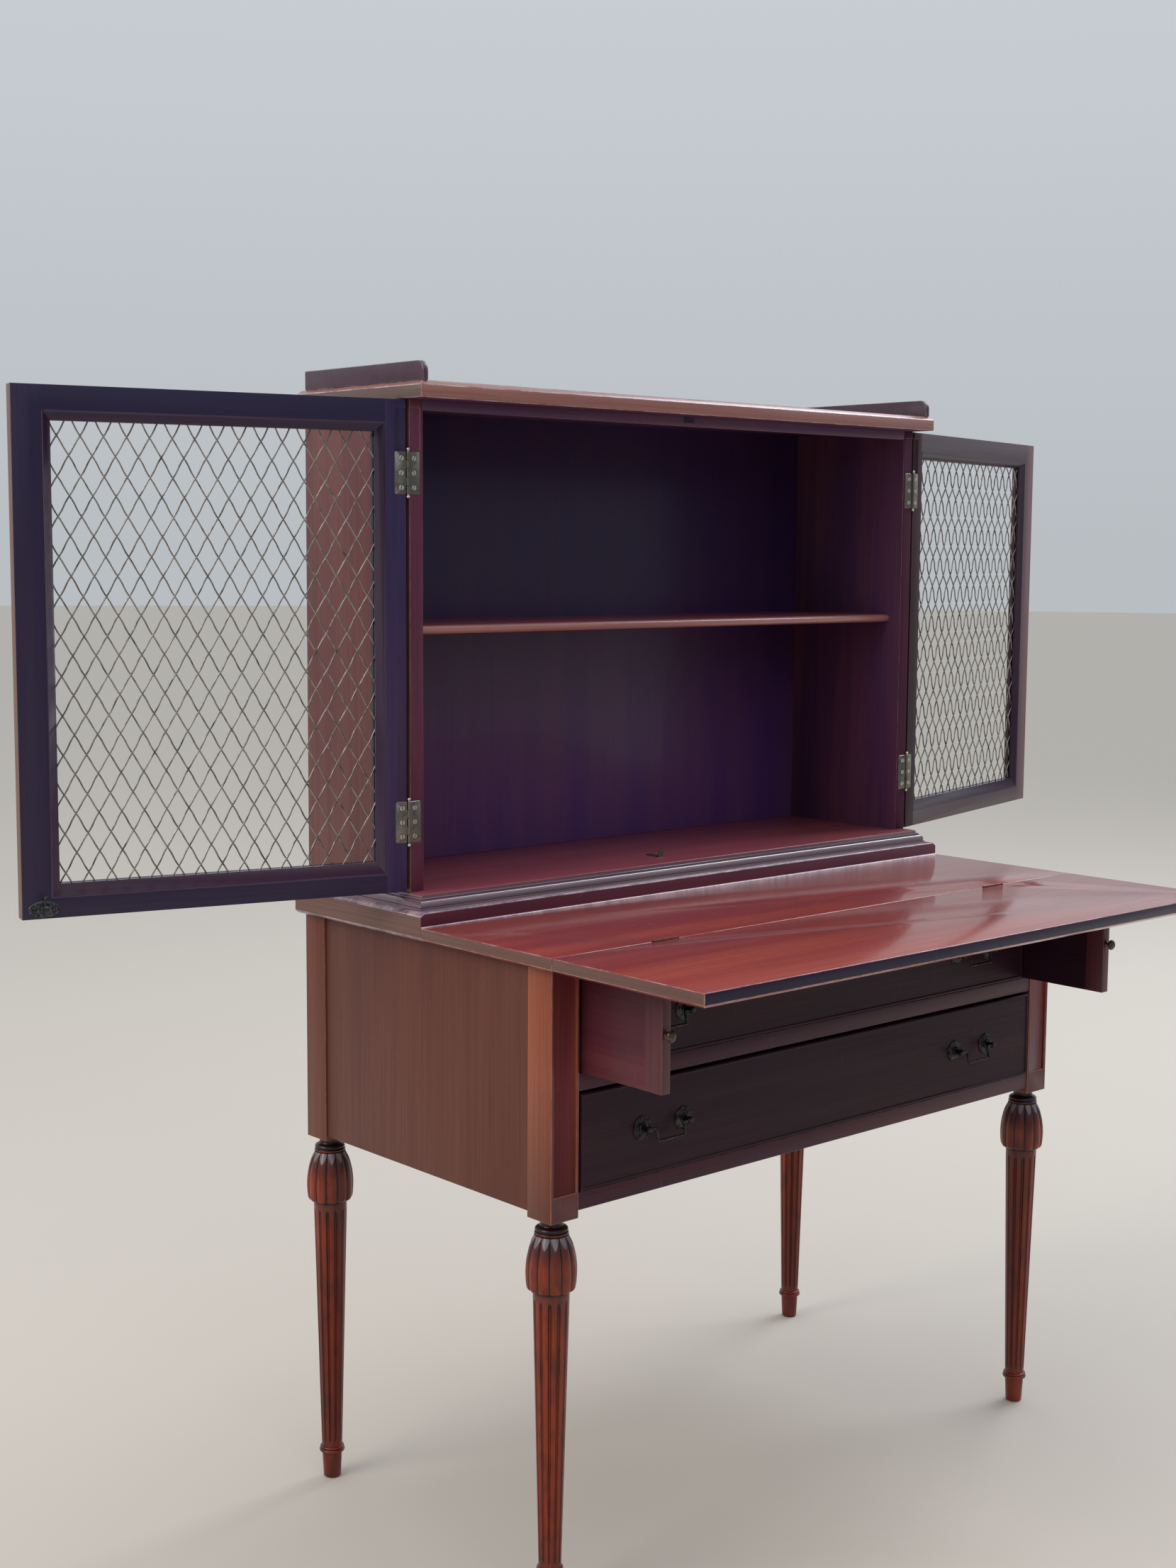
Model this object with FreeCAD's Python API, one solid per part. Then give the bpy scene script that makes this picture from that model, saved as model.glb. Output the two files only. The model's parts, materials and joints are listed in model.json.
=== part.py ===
import FreeCAD, Part
import math
import os
from FreeCAD import Vector

# A writing desk with a hutch. Four turned and fluted legs carry a two-drawer case. A folding
# writing leaf opens forward onto two pull-out lopers, and a cabinet with two wire-grille doors
# stands on the thick back part of the top.
# Millimetres. X runs to the right, Y from the front to the back, Z up from the floor.

# Case: square posts, rails, side panels and the board between the drawers
case_width = 909.2
case_depth = 474.0
case_height = 288.0
leg_height = 451.5
post_size = 41.0
post_rim = 4.0
post_recess_depth = 4.0
post_block_height = 30.0
rail_thickness = 20.0
rail_setback = 1.0
bottom_rail_rise = 8.5
bottom_rail_height = 20.3
middle_rail_rise = 144.8
middle_rail_height = 20.2
top_rail_height = 19.0
side_panel_thickness = 10.0
side_panel_setback = 2.6
side_panel_rise = 6.0
case_back_thickness = 8.0
case_back_setback = 4.0
case_back_rise = 7.5
dust_board_thickness = 10.0
runner_ledge_width = 18.6
runner_ledge_height = 12.0
runner_guide_height = 15.0

# Legs: a turned foot, ring, fluted shaft, bulb carved with petals, bead, collar and neck
leg_setback_side = 20.2
leg_setback_front = 22.1
leg_setback_rear = 20.3
foot_tip_radius = 9.5
foot_low_radius = 11.3
foot_round_height = 2.4
foot_top_radius = 12.6
foot_height = 33.8
ring_radius = 16.2
ring_height = 8.4
shaft_low_radius = 12.9
shaft_high_radius = 21.0
bulb_low_radius = 22.3
bulb_shoulder_radius = 28.4
bulb_shoulder_rise = 6.0
bulb_radius = 29.5
bulb_top_radius = 20.0
bulb_height = 65.0
bulb_swell_height = 22.0
bead_radius = 19.4
bead_height = 4.0
bead_root_radius = 18.2
collar_radius = 19.0
collar_height = 6.0
turned_step = 0.6
neck_radius = 13.0
neck_height = 8.5
dowel_radius = 10.0
dowel_length = 30.0
dowel_clearance = 0.3
dowel_sides = 12
flute_count = 12
flute_low_margin = 6.8
flute_high_margin = 11.0
flute_end_length = 4.0
flute_depth_share = 0.13
petal_groove_share = 0.07
bulb_level_shares = (0.35, 0.7)

# Top: a thick back section, a fixed front board and a writing leaf that folds onto it
top_side_overhang = 15.4
leaf_thickness = 17.0
leaf_reach = 250.0
fold_line_reach = 17.5
fold_line_lift = 0.2
seam_half_gap = 0.3
folded_leaf_gap = 0.5
chamfer_width = 5.6
chamfer_height = 3.6
leaf_hinge_inset = 170.0
leaf_hinge_length = 40.0
leaf_hinge_plate = 1.2
leaf_hinge_drop = 11.0
leaf_knuckle_radius = 1.6
leaf_knuckle_gap = 0.2
leaf_pin_radius = 0.8
leaf_pin_clearance = 0.05
leaf_notch_clearance = 0.3

# Lopers: the two slides that carry the open leaf, each with a turned knob and a stop dowel
loper_thickness = 13.0
loper_post_gap = 4.1
loper_guide_gap = 0.5
loper_slack = 0.3
loper_length = 330.0
loper_pulled_out = 127.0
loper_extra_travel = 20.0
loper_stop_radius = 4.0
loper_stop_length = 8.5
loper_stop_sides = 8
loper_guide_thickness = 12.0
knob_radius = 6.75
knob_length = 12.0
knob_waist_radius = 2.5
knob_foot_radius = 4.2
knob_sides = 16
knob_drop = 58.0

# Drawers: a front with a cock bead, two sides and a back, and a thin bottom
drawer_front_thickness = 18.0
drawer_front_setback = 0.5
drawer_front_low_gap = 0.7
drawer_front_high_gap = 3.6
lower_front_side_gap = 3.1
top_front_side_gap = 1.5
cock_bead_width = 4.0
cock_bead_proud = 1.5
drawer_side_thickness = 10.0
drawer_side_drop = 8.0
drawer_side_gap = 1.5
lower_drawer_side_gap = 5.6
drawer_running_gap = 0.3
drawer_back_gap = 32.0
drawer_bottom_thickness = 5.0
drawer_bottom_rise = 6.0

# Pulls: ten-sided rosettes with an eye each, and a square-cornered bail that hangs between them
pull_inset = 129.6
pull_lift = 0.8
rosette_offset = 33.0
rosette_radius = 14.5
rosette_sides = 10
rosette_edge_thickness = 1.0
rosette_thickness = 2.6
rosette_inner_radius = 11.0
rosette_boss_radius = 6.5
rosette_boss_height = 4.4
rosette_eye_sides = 8
eye_radius = 4.0
eye_reach = 16.0
bail_pivot_reach = 12.5
bail_wire_radius = 1.6
bail_wire_sides = 8
bail_half_width = 21.5
bail_drop = 14.5
bail_lean = 3.0
bail_end_length = 14.0
bail_eye_clearance = 0.08

# Hutch: the cabinet on the back of the top
hutch_width = 901.2
hutch_side_thickness = 19.0
hutch_front_reach = 260.0
hutch_depth = 212.0
hutch_floor_thickness = 17.1
hutch_floor_overhang = 22.0
hutch_inside_height = 575.0
hutch_back_thickness = 6.0
hutch_back_rabbet = 8.0
shelf_rise = 302.0
shelf_thickness = 11.0
shelf_setback = 20.5
hutch_rail_height = 12.5
hutch_rail_thickness = 12.0
crown_side_overhang = 7.2
crown_front_overhang = 32.3
crown_back_overhang = 6.0
crown_thickness = 19.5
crown_chamfer_width = 6.0
crown_chamfer_height = 4.5
gallery_height = 23.0
gallery_thickness = 7.5
gallery_side_setback = 5.8
gallery_front_setback = 4.3
gallery_back_setback = 8.0
gallery_corner_radius = 12.0
moulding_foot_reach = 9.5
moulding_foot_height = 2.6
moulding_round_reach = 8.5
moulding_round_height = 8.5
moulding_fillet_reach = 3.5
moulding_fillet_height = 2.0
moulding_lip_reach = 1.0
moulding_lip_height = 2.5

# Doors: rabbeted frames with a wire grille held in by a sloping bead
door_width = 448.5
door_thickness = 18.0
door_low_gap = 1.3
door_high_gap = 0.9
door_face_gap = 1.0
door_open_angle = 194.3
rabbet_hinge_margin = 25.5
rabbet_free_margin = 31.5
rabbet_low_margin = 21.7
rabbet_high_margin = 26.6
bead_side_width = 11.05
bead_low_width = 15.0
bead_high_width = 10.5
bead_outer_step = 2.0
bead_inner_height = 2.6
door_lip_thickness = 6.4
wire_thickness = 1.6
wire_end_gap = 1.5
cell_width = 25.3
cell_height = 43.0

# Door hinges: ball-tipped butt hinges
hinge_height = 49.5
hinge_low_rise = 57.7
hinge_high_drop = 59.1
hinge_leaf_thickness = 1.2
hinge_leaf_gap = 0.2
case_leaf_width = 17.4
door_leaf_width = 16.6
hinge_pin_offset = 2.6
hinge_knuckle_radius = 2.5
hinge_knuckle_gap = 0.2
hinge_pin_radius = 1.3
hinge_pin_clearance = 0.05
hinge_ball_radius = 1.9
hinge_knuckle_count = 5
hinge_sides = 8
hinge_ball_shares = (0.55, 1, 0.55)

# Catch: a plate and elbow lever on the left door, and a strike on the floor of the hutch
catch_door_offset = 425.0
catch_rise = 10.7
catch_plate_length = 35.0
catch_plate_height = 19.0
catch_plate_thickness = 1.5
catch_plate_sides = 20
catch_ear_thickness = 1.6
catch_ear_reach = 10.5
catch_ear_height = 8.0
catch_pivot_reach = 7.0
catch_pivot_rise = 2.0
catch_pin_radius = 1.2
catch_pin_clearance = 0.06
lever_width = 6.0
lever_side_gap = 0.3
lever_hub_radius = 3.2
lever_arm_height = 3.4
lever_arm_rise = 10.0
lever_barb_depth = 2.6
lever_barb_length = 2.4
lever_barb_gap = 0.5
lever_thumb_rise = 12.0
lever_thumb_reach = 2.5
lever_thumb_radius = 2.2
lever_stem_radius = 1.1
lever_sides = 10
strike_setback = 20.0
strike_length = 25.0
strike_width = 10.0
strike_thickness = 1.2
strike_height = 9.3
strike_offset = 22.0

# Extra length of every cutting tool past the face that it cuts
overrun = 2.0

# Places that follow from the sizes above
overall_depth = leaf_reach + case_depth - leg_setback_rear + bulb_radius
front_y = leaf_reach - overall_depth / 2
back_y = front_y + case_depth
case_half = case_width / 2
post_inner_x = case_half - post_size
case_top_z = leg_height + case_height
bottom_rail_z = leg_height + bottom_rail_rise
middle_rail_z = leg_height + middle_rail_rise
lower_floor_z = bottom_rail_z + bottom_rail_height
top_floor_z = middle_rail_z + middle_rail_height
rail_front_y = front_y + rail_setback
rail_back_y = rail_front_y + rail_thickness
panel_outer_x = case_half - side_panel_setback
panel_inner_x = panel_outer_x - side_panel_thickness
case_back_y = back_y - case_back_setback - case_back_thickness
post_back_y = front_y + post_size
rear_post_y = back_y - post_size
leg_x = case_half - leg_setback_side
leg_front_y = front_y + leg_setback_front
leg_rear_y = back_y - leg_setback_rear
ring_top_z = foot_height + ring_height
collar_top_z = leg_height - neck_height
bead_top_z = collar_top_z - collar_height
bulb_top_z = bead_top_z - bead_height
shaft_top_z = bulb_top_z - bulb_height
bulb_wide_z = shaft_top_z + bulb_swell_height
loper_outer_x = post_inner_x - loper_post_gap
loper_inner_x = loper_outer_x - loper_thickness
guide_outer_x = loper_inner_x - loper_guide_gap
guide_inner_x = guide_outer_x - loper_guide_thickness
top_half = case_half + top_side_overhang
writing_z = case_top_z + leaf_thickness
thick_top_z = writing_z + 2 * fold_line_lift + leaf_thickness
fold_y = front_y - fold_line_reach
fold_z = writing_z + fold_line_lift
leaf_hinge_offset = top_half - leaf_hinge_inset
leaf_front_y = front_y - leaf_reach
thick_front_y = 2 * fold_y - leaf_front_y + folded_leaf_gap
thick_back_y = back_y
hutch_half = hutch_width / 2
hutch_y = front_y + hutch_front_reach
hutch_back_y = hutch_y + hutch_depth
hutch_inner_x = hutch_half - hutch_side_thickness
hutch_floor_z = thick_top_z + hutch_floor_thickness
hutch_ceiling_z = hutch_floor_z + hutch_inside_height
hutch_back_front_y = hutch_back_y - hutch_back_thickness
floor_front_y = hutch_y - hutch_floor_overhang
crown_top_z = hutch_ceiling_z + crown_thickness
crown_half = hutch_half + crown_side_overhang
crown_front_y = hutch_y - crown_front_overhang
crown_back_y = hutch_back_y + crown_back_overhang
door_inner_y = hutch_y - door_face_gap
door_outer_y = door_inner_y - door_thickness
door_low_z = hutch_floor_z + door_low_gap
door_high_z = hutch_ceiling_z - door_high_gap
door_hinge_x = -hutch_half
door_free_x = door_hinge_x + door_width
pin_x = -hutch_half - hinge_pin_offset
pin_y = hutch_y - door_face_gap / 2
grille_front_y = door_outer_y + door_lip_thickness
bead_front_y = grille_front_y + 2 * wire_thickness
hinge_base_zs = (door_low_z + hinge_low_rise, door_high_z - hinge_high_drop)
catch_x = door_hinge_x + catch_door_offset
catch_z = door_low_z + catch_rise
catch_pivot_y = door_inner_y + catch_pivot_reach
catch_pivot_z = catch_z + catch_pivot_rise
lower_pull_z = (lower_floor_z + middle_rail_z + drawer_front_low_gap - drawer_front_high_gap) / 2 + pull_lift
top_opening_z = case_top_z - top_rail_height
top_pull_z = (top_floor_z + top_opening_z + drawer_front_low_gap - drawer_front_high_gap) / 2 + pull_lift
drawer_face_y = front_y + drawer_front_setback
drawer_box_y = drawer_face_y + drawer_front_thickness
drawer_box_length = case_back_y - drawer_back_gap - drawer_box_y
pull_offset = post_inner_x - pull_inset
bail_pivot_y = drawer_face_y - bail_pivot_reach


def box(x0, x1, y0, y1, z0, z1):
    return Part.makeBox(x1 - x0, y1 - y0, z1 - z0, Vector(x0, y0, z0))


def mirrored(shape):
    return shape.mirror(Vector(0, 0, 0), Vector(1, 0, 0))


def polygon(points):
    return Part.Face(Part.makePolygon(points + [points[0]]))


def line(start, end):
    return Part.makeLine(start, end)


def arc(start, middle, end):
    return Part.Arc(start, middle, end).toShape()


# Ring of points about the Z axis, with every second point drawn in by a share of the radius
def ring(radius, z, sides, groove_share=0):
    points = []
    for index in range(sides):
        turn = 2 * math.pi * index / sides
        reach = radius * (1 - groove_share * (index % 2))
        points.append(Vector(reach * math.cos(turn), reach * math.sin(turn), z))
    return points


# One flat between two rings, or two triangles where the rings' grooves differ
def band_faces(corners, is_flat):
    if is_flat:
        return [polygon(corners)]
    return [polygon(corners[:3]), polygon(corners[2:] + corners[:1])]


# Solid of flats through rings given as (radius, height) or (radius, height, groove share)
def turned(levels, sides):
    rings = [ring(level[0], level[1], sides, *level[2:]) for level in levels]
    faces = [polygon(rings[0]), polygon(rings[-1])]
    for place, (low, high) in enumerate(zip(rings, rings[1:])):
        is_flat = levels[place][2:] == levels[place + 1][2:]
        for index in range(sides):
            after = (index + 1) % sides
            faces += band_faces([low[index], low[after], high[after], high[index]], is_flat)
    return Part.makeSolid(Part.makeShell(faces))


# The same solid laid from start towards end, with its heights measured along that line
def turned_along(levels, sides, start, end):
    solid = turned(levels, sides)
    solid.Placement = FreeCAD.Placement(start, FreeCAD.Rotation(Vector(0, 0, 1), end.sub(start)))
    return solid


def rod(radius, sides, start, end):
    return turned_along([(radius, 0), (radius, end.sub(start).Length)], sides, start, end)


# Radius of a barrel of flats that leaves a gap all round a turning radius
def room_radius(radius, gap, sides):
    return (radius + gap) / math.cos(math.pi / sides)


# Small ball on an axis along Z, as flats between a few rings
def ball(radius, centre):
    levels = []
    for index, share in enumerate(hinge_ball_shares):
        levels.append((radius * share, centre.z + radius * (index - 1) * math.sqrt(1 - share * share / 2)))
    solid = turned(levels, hinge_sides)
    solid.translate(Vector(centre.x, centre.y, 0))
    return solid


# Radius of the bulb at a share of the way from its widest place to an end, on a round arc
def swell_radius(end_radius, length, share):
    drop = bulb_radius - end_radius
    arc_radius = (drop * drop + length * length) / (2 * drop)
    away = length * share
    return bulb_radius - arc_radius + math.sqrt(arc_radius * arc_radius - away * away)


# Rings of a leg from the foot up to the top of the neck
def leg_levels():
    shaft_slope = (shaft_high_radius - shaft_low_radius) / (shaft_top_z - ring_top_z)
    levels = [
        (foot_tip_radius, 0),
        (foot_low_radius, foot_round_height),
        (foot_top_radius, foot_height),
        (ring_radius, foot_height + ring_height / 3),
        (ring_radius, ring_top_z - ring_height / 3),
        (shaft_low_radius, ring_top_z),
    ]
    flute_low_z = ring_top_z + flute_low_margin
    flute_high_z = shaft_top_z - flute_high_margin
    for z, share in ((flute_low_z, 0), (flute_low_z + flute_end_length, flute_depth_share),
                     (flute_high_z - flute_end_length, flute_depth_share), (flute_high_z, 0)):
        levels.append((shaft_low_radius + shaft_slope * (z - ring_top_z), z, share))
    levels.append((shaft_high_radius, shaft_top_z))
    levels.append((bulb_low_radius, shaft_top_z + turned_step, petal_groove_share))
    levels.append((bulb_shoulder_radius, shaft_top_z + bulb_shoulder_rise, petal_groove_share))
    levels.append((bulb_radius, bulb_wide_z, petal_groove_share))
    upper_height = bulb_top_z - bulb_wide_z
    for share in bulb_level_shares:
        radius = swell_radius(bulb_top_radius, upper_height, share)
        levels.append((radius, bulb_wide_z + share * upper_height, petal_groove_share))
    levels += [
        (bulb_top_radius, bulb_top_z - turned_step),
        (bead_root_radius, bulb_top_z),
        (bead_radius, bulb_top_z + bead_height / 2),
        (bead_root_radius, bead_top_z),
        (collar_radius, bead_top_z + collar_height / 3),
        (collar_radius, collar_top_z - collar_height / 3),
        (neck_radius, collar_top_z),
        (neck_radius, leg_height),
    ]
    return levels


def turned_leg(x, y):
    dowel = turned([(dowel_radius, leg_height - overrun), (dowel_radius, leg_height + dowel_length)], dowel_sides)
    leg = turned(leg_levels(), 2 * flute_count).fuse(dowel)
    leg.translate(Vector(x, y, 0))
    return leg


def dowel_bore(x, y):
    radius = dowel_radius + dowel_clearance
    top_z = leg_height + dowel_length + dowel_clearance
    bore = turned([(radius, leg_height - overrun), (radius, top_z)], dowel_sides)
    bore.translate(Vector(x, y, 0))
    return bore


# Front posts are sunk inside a narrow rim on their front face, above a square block
def front_post():
    post = box(post_inner_x, case_half, front_y, post_back_y, leg_height, case_top_z)
    recess = box(post_inner_x + post_rim, case_half - post_rim, front_y - overrun,
                 front_y + post_recess_depth, leg_height + post_block_height, case_top_z + overrun)
    return post.cut([recess, dowel_bore(leg_x, leg_front_y)])


def rear_post():
    post = box(post_inner_x, case_half, rear_post_y, back_y, leg_height, case_top_z)
    return post.cut(dowel_bore(leg_x, leg_rear_y))


def front_rail(half_width, z, height):
    return box(-half_width, half_width, rail_front_y, rail_back_y, z, z + height)


def side_panel():
    low_z = leg_height + side_panel_rise
    return box(panel_inner_x, panel_outer_x, post_back_y, rear_post_y, low_z, case_top_z)


def case_back():
    low_z = leg_height + case_back_rise
    return box(-post_inner_x, post_inner_x, case_back_y, case_back_y + case_back_thickness, low_z, case_top_z)


# Half of an outline that reaches the side panels and is notched round both posts
def notched_half(inner_x):
    corners = [
        (inner_x, rail_back_y),
        (post_inner_x, rail_back_y),
        (post_inner_x, post_back_y),
        (panel_inner_x, post_back_y),
        (panel_inner_x, rear_post_y),
        (post_inner_x, rear_post_y),
        (post_inner_x, case_back_y),
        (inner_x, case_back_y),
    ]
    return corners


def dust_board():
    half = notched_half(0)[1:-1]
    corners = half + [(-x, y) for x, y in reversed(half)]
    low_z = top_floor_z - dust_board_thickness
    outline = polygon([Vector(x, y, low_z) for x, y in corners])
    return outline.extrude(Vector(0, 0, dust_board_thickness))


# A ledge that the lower drawer runs on, with a rib that guides its side
def lower_runner():
    low_z = lower_floor_z - runner_ledge_height
    corners = notched_half(post_inner_x - runner_ledge_width)
    ledge = polygon([Vector(x, y, low_z) for x, y in corners]).extrude(Vector(0, 0, runner_ledge_height))
    rib = box(lower_box_half() + drawer_side_gap, panel_inner_x, post_back_y, rear_post_y,
              lower_floor_z, lower_floor_z + runner_guide_height)
    return ledge.fuse(rib).removeSplitter()


def loper_guide():
    return box(guide_inner_x, guide_outer_x, rail_back_y, rear_post_y, top_floor_z, case_top_z)


# Wedge along X or Y that takes a chamfer off an edge: corner is the edge, in and up are signs
def chamfer_along_y(x, z, inward, upward, y0, y1, width, height):
    points = [
        Vector(x - inward * overrun, y0 - overrun, z - upward * overrun),
        Vector(x + inward * width, y0 - overrun, z - upward * overrun),
        Vector(x + inward * width, y0 - overrun, z),
        Vector(x, y0 - overrun, z + upward * height),
        Vector(x - inward * overrun, y0 - overrun, z + upward * height),
    ]
    return polygon(points).extrude(Vector(0, y1 - y0 + 2 * overrun, 0))


def chamfer_along_x(y, z, inward, upward, half, width, height):
    points = [
        Vector(-half - overrun, y - inward * overrun, z - upward * overrun),
        Vector(-half - overrun, y + inward * width, z - upward * overrun),
        Vector(-half - overrun, y + inward * width, z),
        Vector(-half - overrun, y, z + upward * height),
        Vector(-half - overrun, y - inward * overrun, z + upward * height),
    ]
    return polygon(points).extrude(Vector(2 * (half + overrun), 0, 0))


def both_sides_along_y(half, z, upward, y0, y1, width, height):
    left = chamfer_along_y(-half, z, 1, upward, y0, y1, width, height)
    return [left, mirrored(left)]


# Thick back section: chamfered at its sides, above and below
def desk_top_rear():
    slab = box(-top_half, top_half, thick_front_y, thick_back_y, case_top_z, thick_top_z)
    cuts = both_sides_along_y(top_half, thick_top_z, -1, thick_front_y, thick_back_y,
                              chamfer_width, chamfer_height)
    cuts += both_sides_along_y(top_half, case_top_z, 1, thick_front_y, thick_back_y,
                               chamfer_width, chamfer_height)
    return slab.cut(cuts)


# Room in a leaf for the hinge plate let into its seam edge and for the round knuckles
def leaf_hinge_recess(seam_y, away):
    plate_back_y = seam_y + away * leaf_hinge_plate
    plate_low_z = writing_z - leaf_hinge_drop
    seam_past_y = seam_y - away * overrun
    recesses = []
    for x in (-leaf_hinge_offset, leaf_hinge_offset):
        x0 = x - leaf_hinge_length / 2
        x1 = x + leaf_hinge_length / 2
        low_y = min(plate_back_y, seam_past_y)
        high_y = max(plate_back_y, seam_past_y)
        recesses.append(box(x0, x1, low_y, high_y, plate_low_z, writing_z + overrun))
        recesses.append(leaf_barrel(room_radius(leaf_knuckle_radius, leaf_notch_clearance, hinge_sides), x0, x1))
    return recesses


def desk_top_front():
    seam_y = fold_y + seam_half_gap
    slab = box(-top_half, top_half, seam_y, thick_front_y, case_top_z, writing_z)
    cuts = both_sides_along_y(top_half, case_top_z, 1, seam_y, thick_front_y, chamfer_width, chamfer_height)
    cuts += [chamfer_along_x(seam_y, case_top_z, 1, 1, top_half, chamfer_width, chamfer_height)]
    return slab.cut(cuts + leaf_hinge_recess(seam_y, 1))


def writing_leaf():
    seam_y = fold_y - seam_half_gap
    slab = box(-top_half, top_half, leaf_front_y, seam_y, case_top_z, writing_z)
    cuts = both_sides_along_y(top_half, case_top_z, 1, leaf_front_y, seam_y, chamfer_width, chamfer_height)
    cuts += [chamfer_along_x(leaf_front_y, case_top_z, 1, 1, top_half, chamfer_width, chamfer_height)]
    cuts += [chamfer_along_x(seam_y, case_top_z, -1, 1, top_half, chamfer_width, chamfer_height)]
    return slab.cut(cuts + leaf_hinge_recess(seam_y, -1))


# One half of both small hinges in the seam: side is 1 for the fixed half and -1 for the moving one
def leaf_hinge(side):
    seam_y = fold_y + side * seam_half_gap
    plate_y = seam_y + side * leaf_hinge_plate
    third = leaf_hinge_length / 3
    solids = []
    for x in (-leaf_hinge_offset, leaf_hinge_offset):
        start = x - leaf_hinge_length / 2
        plate = box(start, start + leaf_hinge_length, min(seam_y, plate_y), max(seam_y, plate_y),
                    writing_z - leaf_hinge_drop, writing_z)
        if side > 0:
            spans = [(start, start + third), (start + 2 * third, start + leaf_hinge_length)]
            room = [(start + third, start + 2 * third)]
        else:
            spans = [(start + third + leaf_knuckle_gap, start + 2 * third - leaf_knuckle_gap)]
            room = [(start, start + third), (start + 2 * third, start + leaf_hinge_length)]
        clear_radius = room_radius(leaf_knuckle_radius, leaf_knuckle_gap, hinge_sides)
        half = plate.cut([leaf_barrel(clear_radius, low - leaf_knuckle_gap, high + leaf_knuckle_gap)
                          for low, high in room])
        half = half.fuse([leaf_barrel(leaf_knuckle_radius, low, high) for low, high in spans])
        if side > 0:
            half = half.fuse(leaf_barrel(leaf_pin_radius, start, start + leaf_hinge_length))
        else:
            bore = leaf_rod(leaf_pin_radius + leaf_pin_clearance, start, start + leaf_hinge_length)
            half = half.cut(bore)
        solids.append(half.removeSplitter())
    return Part.makeCompound(solids)


def leaf_barrel(radius, x0, x1):
    return rod(radius, hinge_sides, Vector(x0, fold_y, fold_z), Vector(x1, fold_y, fold_z))


def leaf_rod(radius, x0, x1):
    return Part.makeCylinder(radius, x1 - x0, Vector(x0, fold_y, fold_z), Vector(1, 0, 0))


# Right loper, drawn out by loper_pulled_out, with the dowel that stops it at the post
def loper():
    front = front_y - loper_pulled_out
    low_z = top_floor_z + loper_slack
    high_z = case_top_z - loper_slack
    slide = box(loper_inner_x, loper_outer_x, front, front + loper_length, low_z, high_z)
    stop_y = post_back_y + loper_extra_travel + loper_stop_radius
    stop_z = (low_z + high_z) / 2
    stop = rod(loper_stop_radius, loper_stop_sides, Vector(loper_outer_x - loper_thickness / 2, stop_y, stop_z),
               Vector(loper_outer_x + loper_stop_length, stop_y, stop_z))
    return slide.fuse(stop).removeSplitter()


# Turned knob on the front end of a loper: a foot, a hollow waist and a domed head
def loper_knob():
    start = Vector((loper_inner_x + loper_outer_x) / 2, front_y - loper_pulled_out, case_top_z - knob_drop)
    head = knob_length / 2
    levels = [
        (knob_foot_radius, 0),
        (knob_waist_radius, head / 3),
        (knob_waist_radius, head * 2 / 3),
        (knob_radius, head),
        (knob_radius, head * 3 / 2),
        (knob_radius * 2 / 3, knob_length),
    ]
    return turned_along(levels, knob_sides, start, start.sub(Vector(0, knob_length, 0)))


def lower_box_half():
    return post_inner_x - lower_drawer_side_gap


# Half-round bead along the edges of a drawer front, proud of its face
def cock_bead(half_width, low_z, high_z):
    inset = cock_bead_width / 2
    corners = [(-half_width + inset, low_z + inset), (half_width - inset, low_z + inset),
               (half_width - inset, high_z - inset), (-half_width + inset, high_z - inset)]
    path = Part.makePolygon([Vector(x, drawer_face_y, z) for x, z in corners + [corners[0]]])
    x, z = corners[0]
    profile = Part.Wire([
        arc(Vector(x, drawer_face_y, z - inset), Vector(x, drawer_face_y - cock_bead_proud, z),
            Vector(x, drawer_face_y, z + inset)),
        line(Vector(x, drawer_face_y, z + inset), Vector(x, drawer_face_y, z - inset)),
    ])
    return Part.Wire(path.Edges).makePipeShell([profile], True, False, 1)


def drawer_front(half_width, low_z, high_z):
    board = box(-half_width, half_width, drawer_face_y, drawer_face_y + drawer_front_thickness, low_z, high_z)
    return board.fuse(cock_bead(half_width, low_z, high_z)).removeSplitter()


# Two sides and a back, open at the top, joined to the back of the front
def drawer_box(half_width, low_z, high_z):
    start_y = drawer_box_y
    end_y = start_y + drawer_box_length
    inner = half_width - drawer_side_thickness
    outside = box(-half_width, half_width, start_y, end_y, low_z, high_z)
    inside = box(-inner, inner, start_y - overrun, end_y - drawer_side_thickness,
                 low_z - overrun, high_z + overrun)
    return outside.cut(inside)


def drawer_bottom(half_width, low_z):
    start_y = drawer_box_y
    inner = half_width - drawer_side_thickness
    z = low_z + drawer_bottom_rise
    return box(-inner, inner, start_y, start_y + drawer_box_length - drawer_side_thickness,
               z, z + drawer_bottom_thickness)


# Ten-sided rosette with a bevelled edge, a boss and an eye drilled for the bail's end
def rosette(x, z, side):
    start = Vector(x, drawer_face_y, z)
    end = start.sub(Vector(0, eye_reach, 0))
    plate_levels = [
        (rosette_radius, 0),
        (rosette_radius, rosette_edge_thickness),
        (rosette_inner_radius, rosette_thickness),
    ]
    plate = turned_along(plate_levels, rosette_sides, start, end)
    boss_levels = [(rosette_boss_radius, 0), (rosette_boss_radius, rosette_boss_height)]
    boss = turned_along(boss_levels, rosette_eye_sides, start, end)
    eye = rod(eye_radius, rosette_eye_sides, start, end)
    bore_start = x - side * (eye_radius + overrun)
    bore_length = eye_radius + overrun + bail_end_length - (rosette_offset - bail_half_width) + bail_eye_clearance
    bore = Part.makeCylinder(bail_wire_radius + bail_eye_clearance, bore_length,
                             Vector(bore_start, bail_pivot_y, z), Vector(side, 0, 0))
    return plate.fuse([boss, eye]).cut(bore).removeSplitter()


def pull_plates(z):
    plates = []
    for pull_x in (-pull_offset, pull_offset):
        for side in (-1, 1):
            plates.append(rosette(pull_x + side * rosette_offset, z, side))
    return Part.makeCompound(plates)


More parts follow.
